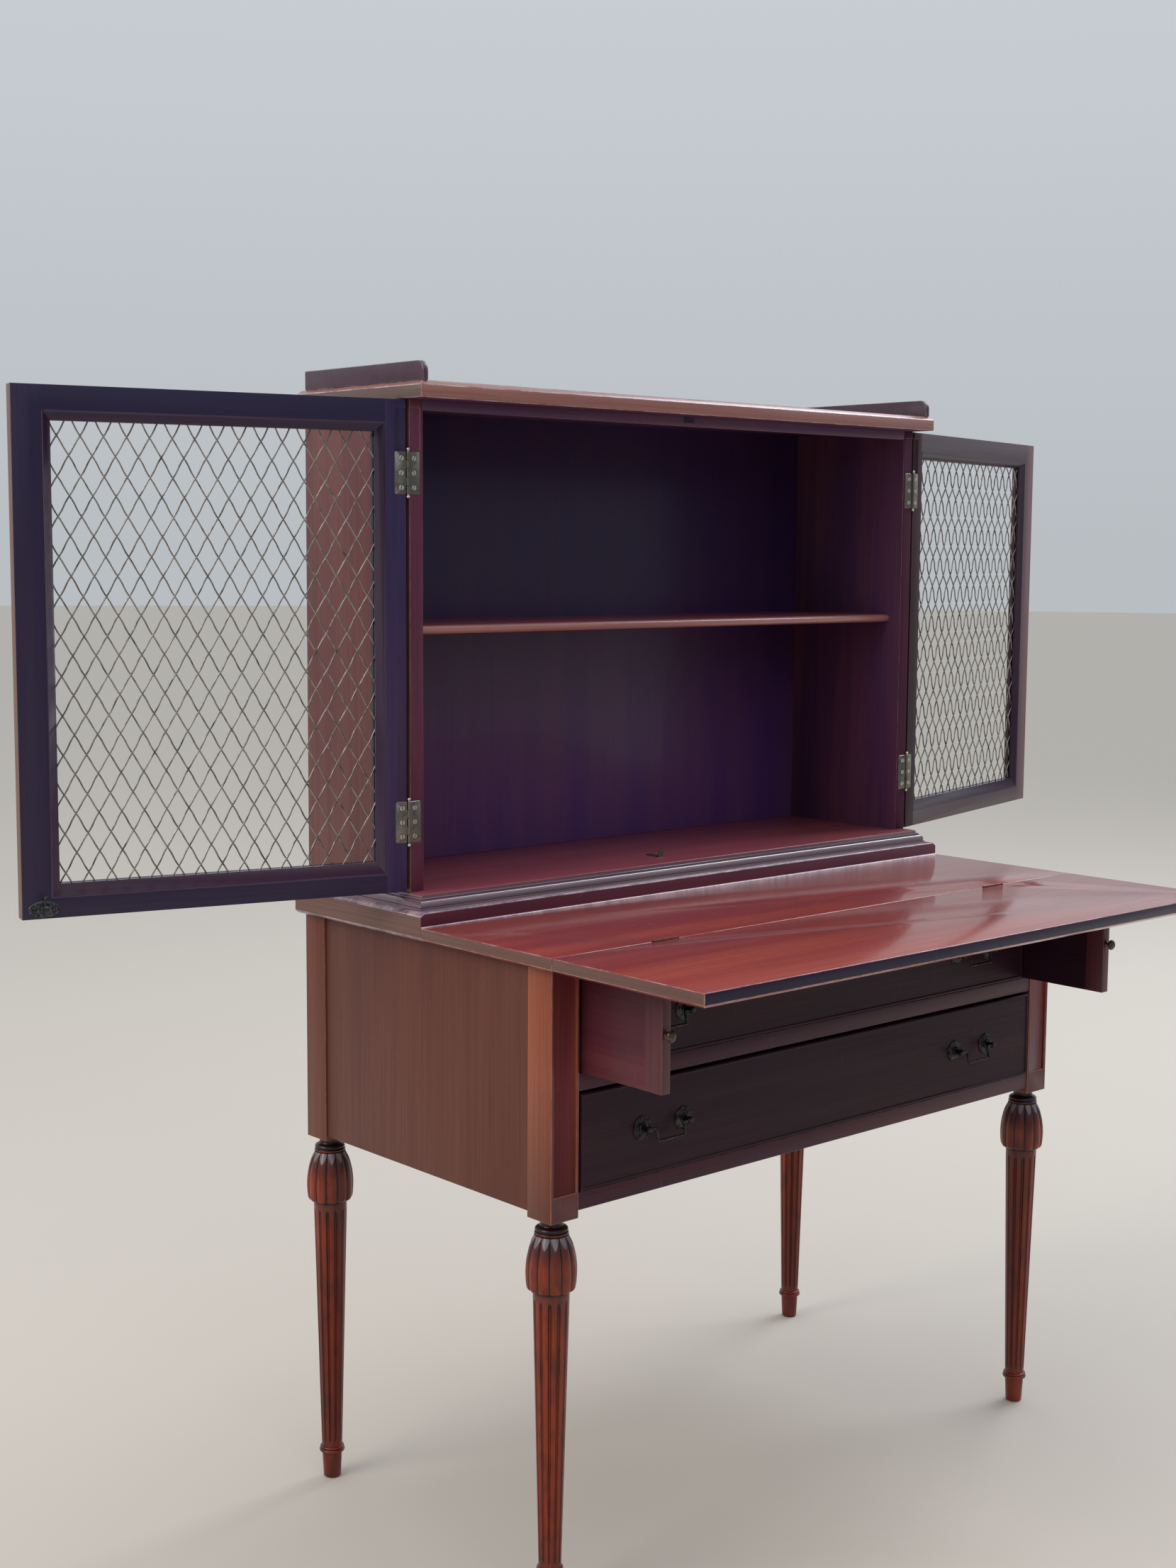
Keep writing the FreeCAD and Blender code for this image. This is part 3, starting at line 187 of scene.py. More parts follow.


# one set for each part of the desk; faces turned from the light get darker sets as painted shade
woodTones = {
    "top": stainAndPaintedLight("#662428", "#934241", "#a75247", 0.17, 0.3, 1.0, 0.5, 1.5),
    # the front faces of the thick section and of the leaf: darker and bluer than the top, painted shade
    "topFront": stainAndPaintedLight("#3b1322", "#5d2339", "#702e3f", 0.30, 0.2, 0.3, 0.5, 1.45),
    "leafEdge": stainAndPaintedLight("#0d0721", "#190e2f", "#2e1a3e", 0.34, 0.1, 0.6, 0.6, 1.42),
    "endGrain": stainAndPaintedLight("#4c3632", "#694842", "#7c5c50", 0.50, 0.05, 0.4, 0.5, 1.45),
    "case": stainAndPaintedLight("#46211c", "#62342b", "#6c3d30", 0.44, 0.0, 0.5, 0.5, 1.42),
    "post": stainAndPaintedLight("#632d1c", "#8f4931", "#a65833", 0.38, 0.1, 0.4, 0.5, 1.45, ("#3a1815", 0.62, 0.46, 0.7)),
    "postRear": stainAndPaintedLight("#46201a", "#63342a", "#733f2f", 0.42, 0.05, 0.4, 0.5, 1.42),
    # the posts' front faces, the lopers' front blocks, the drawers and the rails under the leaf: darkened as painted
    # shade
    "postFront": stainAndPaintedLight("#4d2025", "#7b393c", "#8f443f", 0.36, 0.1, 0.2, 0.5, 1.45, ("#2c1214", 0.62, 0.46, 0.6)),
    "loperFront": stainAndPaintedLight("#31101a", "#50222d", "#5e292f", 0.36, 0.1, 0.2, 0.5, 1.45),
    "drawer": stainAndPaintedLight("#150812", "#2c1826", "#371f28", 0.36, 0.0, 0.2, 0.5, 1.25),
    "rail": stainAndPaintedLight("#230b18", "#3f182b", "#50202c", 0.38, 0.0, 0.3, 0.5, 1.4),
    "loper": stainAndPaintedLight("#31111b", "#51202d", "#5f2b32", 0.38, 0.0, 0.3, 0.5, 1.4),
    "hutch": stainAndPaintedLight("#482629", "#673b3c", "#754743", 0.42, 0.0, 0.4, 0.45, 1.42),
    # the hutch's front edges: darkened as painted shade, the right one most
    "hutchFront": stainAndPaintedLight("#361223", "#542240", "#642b41", 0.36, 0.05, 0.2, 0.5, 1.42),
    "hutchFrontRight": stainAndPaintedLight("#2f1526", "#452038", "#512a3c", 0.45, 0.0, 0.2, 0.5, 1.15),
    "gallery": stainAndPaintedLight("#2c1f2b", "#473444", "#553d4a", 0.40, 0.05, 0.4, 0.5, 1.45),
    # the inside of the hutch: darker and bluer as painted shade; the back also darkens towards the top, painted
    # shade under the hutch's top
    "inside": stainAndPaintedLight("#321f39", "#5a375a", "#744656", 0.46, 0.0, 0.1, 0.5, 1.42),
    "back": stainAndPaintedLight("#492c60", "#56346d", "#643e69", 0.36, 0.1, 0.1, 0.3, 1.45, ("#140c2e", 0.86, 1.20, 0.75)),
    # the shelf: paler, partly a painted highlight on its rounded front
    "shelf": stainAndPaintedLight("#663939", "#9c6462", "#b17a71", 0.24, 0.3, 0.3, 0.4, 1.5),
    "hutchFloor": stainAndPaintedLight("#5c2433", "#894351", "#9d4f53", 0.30, 0.2, 0.4, 0.5, 1.5),
    "crown": stainAndPaintedLight("#613936", "#8f5b57", "#a16d62", 0.32, 0.2, 0.6, 0.5, 1.5),
    # the crown's end grain: greyer, a painted reflection of the sky
    "crownEnd": stainAndPaintedLight("#382b2b", "#665350", "#74605a", 0.40, 0.05, 0.4, 0.5, 1.5),
    # the moulding and the thick section: greyer and bluer, partly a painted reflection of the sky
    "moulding": stainAndPaintedLight("#442d3a", "#6d5362", "#836871", 0.16, 1.0, 0.3, 0.3, 1.6),
    # the doors: darker and bluer as painted shade, with lit and shaded copies for the stiles and the free edge
    "doorLeft": stainAndPaintedLight("#130c27", "#21173c", "#302240", 0.36, 0.0, 0.1, 0.4, 1.4),
    "doorLeftStile": stainAndPaintedLight("#1e1534", "#31244e", "#453355", 0.36, 0.0, 0.1, 0.4, 1.4),
    "doorRight": stainAndPaintedLight("#2a1d28", "#463540", "#554149", 0.36, 0.05, 0.1, 0.4, 1.45),
    "doorRightStile": stainAndPaintedLight("#1c1018", "#31202a", "#3d2930", 0.40, 0.0, 0.1, 0.4, 1.3),
    "doorRightFree": stainAndPaintedLight("#351e28", "#563741", "#694249", 0.36, 0.05, 0.1, 0.4, 1.45),
    "bead": stainAndPaintedLight("#1b0c23", "#2d1731", "#3c2238", 0.32, 0.1, 0.1, 0.4, 1.42),
    # the bead's upward faces: paler, a painted highlight
    "beadTopHighlight": stainAndPaintedLight("#4a3a48", "#6a5a68", "#7a6a76", 0.14, 1.0, 0.1, 0.3, 1.6),
    "leg": stainAndPaintedLight("#3a0c05", "#6f210d", "#953718", 0.28, 0.1, 0.3, 0.5, 1.42),
    "hidden": stainAndPaintedLight("#4c3423", "#7d583e", "#906748", 0.60, 0.0, 0.0, 0.5, 1.45),
}
grainLayers = {  # metres along the grain, across and through, detail, roughness, turn, and what counts as 0 and 1
    "figure": ((0.60, 0.045, 0.045), 3.0, 0.55, 0, 0.36, 0.64),
    "streak": ((0.22, 0.0026, 0.0026), 4.0, 0.6, 0, 0.42, 0.78),
    "pore": ((0.014, 0.0009, 0.0009), 2.0, 0.55, 0, 0.60, 0.72),  # drawn coarser than real pores so that they show
    "scratch": ((0.030, 0.0008, 0.03), 1.0, 0.5, 24, 0.74, 0.77),
    "patch": ((0.16, 0.12, 0.12), 2.0, 0.55, 0, 0.50, 0.66),
    "blotch": ((0.030, 0.012, 0.012), 3.0, 0.55, 0, 0.46, 0.66),
}
# tints from the piece's own attributes: a darker upper part, facets paled as a painted reflection of the sky,
# hollows darkened as painted shade
carvedShadeAndSheen = {"upper": "#3a2a31", "facet": "#7b7279", "hollow": "#0f0a10"}


def grainLayer(tree, where, name):
    size, detail, roughness, turn, low, high = grainLayers[name]
    return ramped(tree, patchNoise(tree, where, size, detail, roughness, turn), low, high)


@functools.cache
def polishedMahogany(part, grain, carved=False):
    # old mahogany, sawn along the grain, stained and polished with shellac: long soft streaks,
    # short dark pores, a low even gloss and a few pale scratches
    tones = woodTones[part]
    material, tree, shader = newMaterial("polishedMahogany_" + part + "_" + grain)
    where = boardPlace(tree, grain)
    figure, streak, pore = (grainLayer(tree, where, name) for name in ("figure", "streak", "pore"))
    colour = mixedColour(tree, figure, tones["body"], tones["bright"])
    colour = mixedColour(tree, times(tree, streak, tones["grain"]), colour, tones["deep"])
    colour = mixedColour(tree, times(tree, pore, 0.35), colour, tones["deep"])
    if carved:
        colour = mixedColour(tree, times(tree, grainLayer(tree, where, "blotch"), 0.55), colour, "#3b1a15")
        # carved pieces: painted shade in the hollows and a painted reflection on the facets, from their attributes
        for layer, tint in carvedShadeAndSheen.items():
            share = addNode(tree, "ShaderNodeAttribute", {}, attribute_name=layer).outputs["Fac"]
            colour = mixedColour(tree, share, colour, tint)
    # the colour darkens between two heights: painted shade at the top of the hutch's back, and darker towards the
    # bottom on the posts
    if tones["shade"]:
        dark, start, end, most = tones["shade"]
        rise = addNode(tree, "ShaderNodeSeparateXYZ", {0: objectSpot(tree)}).outputs["Z"]
        colour = mixedColour(tree, times(tree, ramped(tree, rise, start, end), most), colour, dark)
    if tones["wear"]:
        scratch, patch = (grainLayer(tree, where, name) for name in ("scratch", "patch"))
        worn = times(tree, times(tree, scratch, patch), 0.7 * tones["wear"])
        colour = mixedColour(tree, worn, colour, "#c08a70")
    height = mathNode(tree, "SUBTRACT", times(tree, streak, -0.3), pore)
    bump = addNode(tree, "ShaderNodeBump", {"Height": height, "Strength": 0.2, "Distance": 0.0002})
    setInputs(tree, shader, {
        "Base Color": colour, "Roughness": mathNode(tree, "MULTIPLY_ADD", streak, 0.08, tones["rough"]),
        "Normal": bump.outputs["Normal"], "IOR": tones["ior"],
        "Coat Weight": tones["coat"], "Coat Roughness": 0.1,
    })
    return material


# the colour that each part's arrises are rubbed to, paled further as a painted highlight
rubbedAndHighlightTones = {
    "back": "#4c2d58", "top": "#b08882", "moulding": "#b0949b", "doorLeftStile": "#4a4056",
    "doorRightStile": "#5a4850", "crown": "#b9a7a4", "hutch": "#8a6c6a", "post": "#9a6248",
    "postRear": "#805244", "doorLeft": "#40364c", "doorRight": "#5c4a54", "bead": "#85757f",
    "drawer": "#4a3a42", "inside": "#5a4450", "rail": "#5d4144", "loper": "#7a5150", "gallery": "#75656c",
    "shelf": "#b58a84", "case": "#8a6055", "hutchFloor": "#8a5a58",
}


@functools.cache
def rubbedArrisAndHighlight(part):
    # polish rubbed thin along a sharp edge: paler, greyer and a little shinier than the board; the paleness is
    # partly a painted highlight of the sky
    material, tree, shader = newMaterial("rubbedArrisAndHighlight_" + part)
    rubbed = ramped(tree, patchNoise(tree, objectSpot(tree), (0.03, 0.03, 0.03), 4.0, 0.7), 0.40, 0.62)
    setInputs(tree, shader, {
        "Base Color": mixedColour(tree, rubbed, woodTones[part]["body"], rubbedAndHighlightTones[part]),
        "Roughness": 0.26, "IOR": 1.5, "Coat Weight": 0.3, "Coat Roughness": 0.12,
    })
    return material


def agedMetal(name, clean, tarnish, metallic, rough, patch, amount):
    # cast or rolled metal left to tarnish: dull patches over a softly shining base
    material, tree, shader = newMaterial(name)
    noise = patchNoise(tree, objectSpot(tree), (patch, patch, patch), 4.0, 0.65)
    dull = ramped(tree, noise, 0.5 - amount, 0.75 - amount)
    bump = addNode(tree, "ShaderNodeBump", {"Height": dull, "Strength": 0.2, "Distance": 0.0002})
    setInputs(tree, shader, {
        "Base Color": mixedColour(tree, dull, clean, tarnish), "Metallic": metallic,
        "Roughness": mathNode(tree, "MULTIPLY_ADD", dull, 0.22, rough), "Normal": bump.outputs["Normal"],
    })
    return material


metals = {
    "agedBrass": agedMetal("tarnishedRolledBrass", "#7f7a70", "#3f4042", 0.85, 0.26, 0.008, -0.02),
    # screw heads and ball tips: pale brass, painted bright as a highlight
    "screwBrass": agedMetal("brassScrewHeadsPaintedBright", "#cfccc4", "#8a8982", 0.9, 0.36, 0.003, -0.06),
    # dark discs under the screw heads: a painted shadow round them
    "seat": agedMetal("paintedShadowRoundTheScrews", "#1e1f22", "#101114", 0.2, 0.6, 0.004, 0.0),
    "dullBrass": agedMetal("dullTurnedBrass", "#655d50", "#2f2b27", 0.9, 0.34, 0.004, 0.08),
    "blackened": agedMetal("blackenedCastBrass", "#5a5e60", "#1d2022", 0.8, 0.34, 0.004, 0.10),
    "wire": agedMetal("drawnBrassWireDarkened", "#9a968e", "#4d4945", 0.9, 0.34, 0.012, 0.04),
    "stainedHinge": agedMetal("brassHingeUnderOldPolish", "#5a3230", "#38201f", 0.6, 0.40, 0.004, 0.05),
    "bronze": agedMetal("darkPatinatedBronze", "#4a4746", "#17151a", 0.8, 0.36, 0.005, 0.12),
}
print("materials ready")


# a ring of points for each (radius, height) of a profile: the profile goes once round Z
def spun(profile, sides, start=0.0):
    angle = np.arange(sides) * 2 * np.pi / sides + start
    radius, height = np.asarray(profile, float).T
    grid = radius[:, None, None] * np.stack([np.cos(angle), np.sin(angle)], -1)
    rise = np.broadcast_to(height[:, None, None], (len(height), sides, 1))
    return np.concatenate([grid, rise], -1)


# lays a shape's own Z along a direction, from a starting point
def laidAlong(grid, start, direction):
    axis = np.asarray(direction, float) / np.linalg.norm(direction)
    helper = np.array([0.0, 0, 1]) if abs(axis[2]) < 0.9 else np.array([1.0, 0, 0])
    first = np.cross(helper, axis)
    first /= np.linalg.norm(first)
    second = np.cross(axis, first)
    return grid @ np.stack([first, second, axis]) + np.asarray(start, float)


# quads between neighbouring rows of a grid, each row a closed ring, with both ends closed by one face each
def skinned(grid):
    rows, cols = grid.shape[:2]
    r, c = np.arange(rows - 1)[:, None], np.arange(cols)[None, :]
    after, beside = r + 1, (c + 1) % cols
    corners = (r * cols + c, r * cols + beside, after * cols + beside, after * cols + c)
    faces = np.stack(np.broadcast_arrays(*corners), -1).reshape(-1, 4).tolist()
    faces.append(list(range(cols))[::-1])
    faces.append(list(range((rows - 1) * cols, rows * cols)))
    return grid.reshape(-1, 3), faces


# a turned piece: a profile spun about a line from start along direction
def turnedShape(profile, sides, start, direction, first=0.0):
    return skinned(laidAlong(spun(profile, sides, first), start, direction))


# a section carried along a path: sideways and upward offsets at each point of the path
def carried(path, section, upward):
    path = np.asarray(path, float)
    ahead = np.gradient(path, axis=0)
    ahead /= np.linalg.norm(ahead, axis=1)[:, None]
    side = np.cross(ahead, np.asarray(upward, float))
    side /= np.linalg.norm(side, axis=1)[:, None]
    top = np.cross(side, ahead)
    section = np.asarray(section, float)
    if section.ndim == 2:
        section = np.broadcast_to(section, (len(path),) + section.shape)
    return path[:, None] + section[..., :1] * side[:, None] + section[..., 1:] * top[:, None]


# an outline of (across, up) points drawn out through several (depth, share) steps
def drawnOut(outline, steps):
    outline = np.asarray(outline, float)
    middle = (outline.max(0) + outline.min(0)) / 2
    size = (outline.max(0) - outline.min(0)) / 2
    rows = [np.concatenate([middle + (outline - middle) * (1 - inset / size), np.full((len(outline), 1), depth)], 1)
            for depth, inset in steps]
    return np.stack(rows)


# path through corners, each rounded by an arc-like bend of the given radius
def bentPath(corners, radius, steps=5):
    corners = np.asarray(corners, float)
    points = [corners[:1]]
    share = np.linspace(0, 1, steps)[:, None]
    for before, corner, after in zip(corners, corners[1:], corners[2:]):
        start = corner + (before - corner) * radius / np.linalg.norm(before - corner)
        end = corner + (after - corner) * radius / np.linalg.norm(after - corner)
        points.append((1 - share) ** 2 * start + 2 * share * (1 - share) * corner + share ** 2 * end)
    points.append(corners[-1:])
    return np.concatenate(points)


def roundSection(radius, sides):
    angle = np.arange(sides) * 2 * np.pi / sides
    return np.stack([np.cos(angle), np.sin(angle)], -1) * radius


# a door's points turned about its hinge pins by a number of degrees, on the left side of the desk
def turnedAboutPins(points, degrees):
    angle = math.radians(degrees)
    x, y = points[:, 0] - place["pinX"], points[:, 1] - place["pinY"]
    return np.stack([x * math.cos(angle) - y * math.sin(angle) + place["pinX"],
                     x * math.sin(angle) + y * math.cos(angle) + place["pinY"], points[:, 2]], -1)


# a shape in closed door coordinates swung open, the right door mirrored from the left
def swungOpen(shape, side):
    points, faces = shape
    return turnedAboutPins(points, -place["openAngle"]) * np.array([side, 1, 1]), faces


# the other way: points of an open door in the coordinates of the left door when closed
def asClosed(points, side):
    return turnedAboutPins(np.asarray(points, float) * np.array([side, 1, 1]), place["openAngle"])


def mirroredX(shape):
    points, faces = shape
    return points * np.array([-1.0, 1, 1]), faces


# shades a mesh smooth up to an angle in degrees, rides it on its body and hides the nodes that it replaces
def placed(name, mesh, body, smooth, replaced):
    mesh.shade_smooth()
    mesh.set_sharp_from_angle(angle=math.radians(smooth))
    piece = bpy.data.objects.new(name, mesh)
    scene.collection.objects.link(piece)
    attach(piece, body)
    if replaced:
        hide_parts(*replaced)


# joins shapes into one mesh, merges doubles and turns every face outwards
def makePiece(name, shapes, body, material, smooth=32, replaced=(), layers={}):
    points, faces, offset = [], [], 0
    for shapePoints, shapeFaces in shapes:
        points.append(shapePoints)
        faces += [[index + offset for index in face] for face in shapeFaces]
        offset += len(shapePoints)
    points = np.concatenate(points) * metre
    mesh = bpy.data.meshes.new(name)
    mesh.from_pydata(points.tolist(), [], faces)
    for layerName, values in layers.items():
        layer = mesh.attributes.new(layerName, "FLOAT", "POINT")
        layer.data.foreach_set("value", np.asarray(values, np.float32).ravel())
    work = bmesh.new()
    work.from_mesh(mesh)
    bmesh.ops.remove_doubles(work, verts=work.verts, dist=1e-6)
    bmesh.ops.recalc_face_normals(work, faces=work.faces)
    work.to_mesh(mesh)
    work.free()
    mesh.materials.append(material)
    placed(name, mesh, body, smooth, replaced)


# each board: its finish, the way its grain runs, how far its arrises are eased in millimetres, and
# the faces that take another tone, many of them darker as painted shade
ends = {"-x": ("endGrain", "y"), "+x": ("endGrain", "y")}
boards = {
    "post_front_left": ("post", "z", 0.9, {"-y": ("postFront", "z")}),
    "post_front_right": ("post", "z", 0.9, {"-y": ("postFront", "z")}),
    "post_rear_left": ("postRear", "z", 0.9),
    "post_rear_right": ("postRear", "z", 0.9),
    "bottom_rail": ("rail", "x", 0.9),
    "middle_rail": ("rail", "x", 0.7),
    "top_rail": ("rail", "x", 0.7),
    "side_panel_left": ("case", "z", 0.8),
    "side_panel_right": ("case", "z", 0.8),
    "desk_top_rear": ("moulding", "x", 1.7, {"-y": ("topFront", "x"), "": ("arris", "moulding"), **ends}),
    "desk_top_front": ("top", "x", 1.2, ends),
    "writing_leaf": ("top", "x", 1.2, {"-y": ("leafEdge", "x"), **ends}),
    "top_drawer_front": ("drawer", "x", 0.6),
    "lower_drawer_front": ("drawer", "x", 0.6),
    "hutch_side_left": ("hutch", "z", 0.8, {"+x": ("inside", "z"), "-y": ("hutchFront", "z")}),
    "hutch_side_right": ("hutch", "z", 0.8, {"-x": ("inside", "z"), "-y": ("hutchFrontRight", "z")}),
    "hutch_bottom": ("hutchFloor", "x", 0.8),
    "hutch_top": ("crown", "x", 0.9, {"-z": ("inside", "x"), "-x": ("crownEnd", "y"), "+x": ("crownEnd", "y")}),
    "hutch_shelf": ("shelf", "x", 0.8, {"+z": ("hutchFloor", "x"), "-z": ("inside", "x")}),
    "hutch_top_rail": ("inside", "x", 0.6),
    "top_gallery": ("gallery", "x", 1.0),
    "hutch_back": ("back", "z", 0.4, {"+y": ("hidden", "z")}),
}
nodeBody = {node: body for body, held in frame["record"]["behaviour"]["bodies"].items() for node in held}


# which side of the desk a direction faces, such as "-y", or "" where it slants
def facing(normal):
    axis = max(range(3), key=lambda index: abs(normal[index]))
    return ("+" if normal[axis] > 0 else "-") + "xyz"[axis] if abs(normal[axis]) > 0.9 else ""


def easedBoard(name, part, grain, ease, otherFaces={}, cuts=(), choose=None):
    # copy of a board's solid with its flat faces joined again, cut where two pieces of wood meet, and
    # every outer arris rounded except the upright ones of the thick section; choose names a face's finish
    work = bmesh.new()
    work.from_mesh(nodes[name].data)
    bmesh.ops.remove_doubles(work, verts=work.verts, dist=1e-6)
    bmesh.ops.dissolve_limit(work, angle_limit=math.radians(0.8), verts=work.verts, edges=work.edges)
    for spot, normal in cuts:
        everything = work.verts[:] + work.edges[:] + work.faces[:]
        bmesh.ops.bisect_plane(work, geom=everything, dist=1e-6, plane_co=np.multiply(spot, metre).tolist(),
                               plane_no=normal)
    finishes = [(part, grain), ("arris", part)]
    for face in work.faces:
        finish = choose(face) if choose else otherFaces.get(facing(face.normal), finishes[0])
        if finish not in finishes:
            finishes.append(finish)
        face.material_index = finishes.index(finish)
    sharp = [edge for edge in work.edges
             if len(edge.link_faces) == 2 and edge.is_convex and edge.calc_face_angle() > math.radians(24)]
    if name == "desk_top_rear":
        sharp = [edge for edge in sharp
                 if abs(edge.verts[0].co.z - edge.verts[1].co.z) <= 0.9 * edge.calc_length()]
    bmesh.ops.bevel(work, geom=sharp, offset=ease * metre, offset_type="OFFSET", segments=2, profile=0.5,
                    affect="EDGES", clamp_overlap=True, material=1)
    mesh = bpy.data.meshes.new("eased_" + name)
    work.to_mesh(mesh)
    work.free()
    for finish in finishes:
        mesh.materials.append(rubbedArrisAndHighlight(finish[1]) if finish[0] == "arris" else polishedMahogany(*finish))
    placed("eased_" + name, mesh, nodeBody[name], 40, (name,))


for boardName, finish in boards.items():
    easedBoard(boardName, *finish)

# the lopers end in a facing block whose grain stands upright
loperBlock = {"jointY": -217.5, "ease": 0.7}
# the right loper takes the drawers' dark tone: painted shade on its face under the leaf
for name, wood in (("loper_left", "loper"), ("loper_right", "drawer")):
    easedBoard(name, wood, "y", loperBlock["ease"], cuts=[((0, loperBlock["jointY"], 0), (0, 1, 0))],
               choose=lambda face: ("loperFront", "z") if face.calc_center_median().y < loperBlock["jointY"] * metre
               else (wood, "y"))

# the doors: upright stiles with rails between them, and a bead mitred round the grille
door = {
    "stileX": (-425.1, -33.6), "freeX": -2.1, "middleY": 133.0,  # the stiles' joints, the free edge, a spot inside
    "beadOuter": (-425.1, -33.6, 814.0, 1338.5), "beadWide": 11.05, "beadLow": 15.0, "beadHigh": 10.5,
}


def easedDoor(hand, side):
    railGrain, wood = hand + "Rail", "door" + hand.capitalize()
    freeWood = "doorRightFree" if hand == "right" else wood

    # planes given in closed coordinates as a spot and a normal
    def openPlane(spot, normal):
        ends = np.array([spot, np.add(spot, normal)], float)
        ends = swungOpen((ends, None), side)[0]
        return ends[0], (ends[1] - ends[0]).tolist()

    # each stile and the free edge take their own lit and shaded copy of the door's tone: painted light and shade
    def frameFinish(face):
        x = asClosed(np.array([face.calc_center_median()]) / metre, side)[0, 0]
        if x < door["stileX"][0]:
            return (wood + "Stile", "z")
        if x > door["freeX"] - 0.1:
            return ("endGrain", "z")
        return (wood, railGrain) if x < door["stileX"][1] else (freeWood, "z")

    def beadFinish(face):
        x, y, z = asClosed(np.array([face.calc_center_median()]) / metre, side)[0]
        x0, x1, z0, z1 = door["beadOuter"]
        across = min(x - x0, x1 - x) / door["beadWide"]
        upward = min((z - z0) / door["beadLow"], (z1 - z) / door["beadHigh"])
        # upward faces of the bead take a paler tone, a painted highlight
        if face.normal.z > 0.9:
            return ("beadTopHighlight", railGrain)
        return ("bead", "z") if across < upward else ("bead", railGrain)

    frameCuts = [openPlane((x, door["middleY"], 0), (1, 0, 0)) for x in door["stileX"]]
    x0, x1, z0, z1 = door["beadOuter"]
    wide, low, high = door["beadWide"], door["beadLow"], door["beadHigh"]
    mitres = ((x0, z0, low, -wide), (x1, z0, low, wide), (x0, z1, high, wide), (x1, z1, high, -wide))
    beadCuts = [openPlane((x, door["middleY"], z), (a, 0, b)) for x, z, a, b in mitres]
    easedBoard(hand + "_door_frame", wood, railGrain, 1.0, cuts=frameCuts, choose=frameFinish)
    easedBoard(hand + "_door_bead", "bead", railGrain, 0.5, cuts=beadCuts, choose=beadFinish)


easedDoor("left", 1)
easedDoor("right", -1)
print("boards eased")


# base moulding: a foot, a quarter round and a small rounded fillet under a lip, with dark quirks between
moulding = {
    "half": 450.6, "frontY": 121.4, "backY": 355.4, "baseZ": 773.9,
    "foot": ((0, 0), (9.5, 0), (9.5, 1.6), (9.2, 2.2), (7.4, 2.4), (7.4, 2.8), (8.2, 2.9)),
    "round": (8.6, 3.5, 3.2, 10.9),  # reach at its foot and head, then their heights
    "fillet": ((2.5, 11.0), (2.5, 11.3), (3.2, 11.4), (3.5, 11.8), (3.5, 12.3), (3.3, 12.8), (2.9, 13.0)),
    "lip": ((0.6, 13.1), (0.6, 15.0), (0.9, 15.1), (0.9, 15.6), (0, 15.6)),
}


def mouldingSweep():
    # the round is a quarter of an ellipse, upright at its foot and level at its head; the whole
    # profile is carried round three sides with mitred corners
    lowReach, highReach, lowZ, highZ = moulding["round"]
    turn = np.linspace(0, np.pi / 2, 25)
    bulge = np.stack([highReach + (lowReach - highReach) * np.cos(turn), lowZ + (highZ - lowZ) * np.sin(turn)], -1)
    profile = np.concatenate([moulding["foot"], bulge, moulding["fillet"], moulding["lip"]])
    half, front, back = moulding["half"], moulding["frontY"], moulding["backY"]
    path = np.array([(-half, back), (-half, front), (half, front), (half, back)])
    outward = np.array([(-1, 0), (-1, -1), (1, -1), (1, 0)])
    flat = path[:, None] + profile[None, :, :1] * outward[:, None]
    rise = np.broadcast_to(profile[None, :, 1:] + moulding["baseZ"], flat.shape[:2] + (1,))
    return skinned(np.concatenate([flat, rise], -1))


makePiece("mitredBaseMoulding", [mouldingSweep()], "desk", polishedMahogany("moulding", "x"), 50,
          ("base_moulding",))

# a thin line of polish that has gathered in the corner where the fixed board meets the thick section, coloured pale
# as a painted highlight
cornerHighlightLine = {"half": 469.5, "y": 98.9, "z": 756.5, "size": 1.1, "under": 0.4}


def cornerLineShape():
    # the section is a triangle whose long side slants across the corner, carried along X
    y, z, size, under = (cornerHighlightLine[key] for key in ("y", "z", "size", "under"))
    section = np.array([(y - size, z), (y, z + size), (y + under, z + size), (y + under, z - under),
                        (y - size, z - under)])
    rows = [np.column_stack([np.full(len(section), x), section]) for x in (-cornerHighlightLine["half"], cornerHighlightLine["half"])]
    return skinned(np.stack(rows))


makePiece("cornerHighlightLine", [cornerLineShape()], "desk", rubbedArrisAndHighlight("moulding"), 30)

# a small stop for the doors under the hutch's top rail, dark with the leaf edge's painted shade
doorStop = {"half": 9.0, "y": (143.0, 151.5), "z": (1357.0, 1366.2), "soft": 1.2}


def doorStopShape():
    (y0, y1), (z0, z1), half, soft = doorStop["y"], doorStop["z"], doorStop["half"], doorStop["soft"]
    outline = ((-half, y0), (half, y0), (half, y1), (-half, y1))
    return skinned(drawnOut(outline, ((z1, 0), (z0 + soft, 0), (z0, soft))))


makePiece("doorStop", [doorStopShape()], "desk", polishedMahogany("leafEdge", "x"), 30)
print("moulding run")


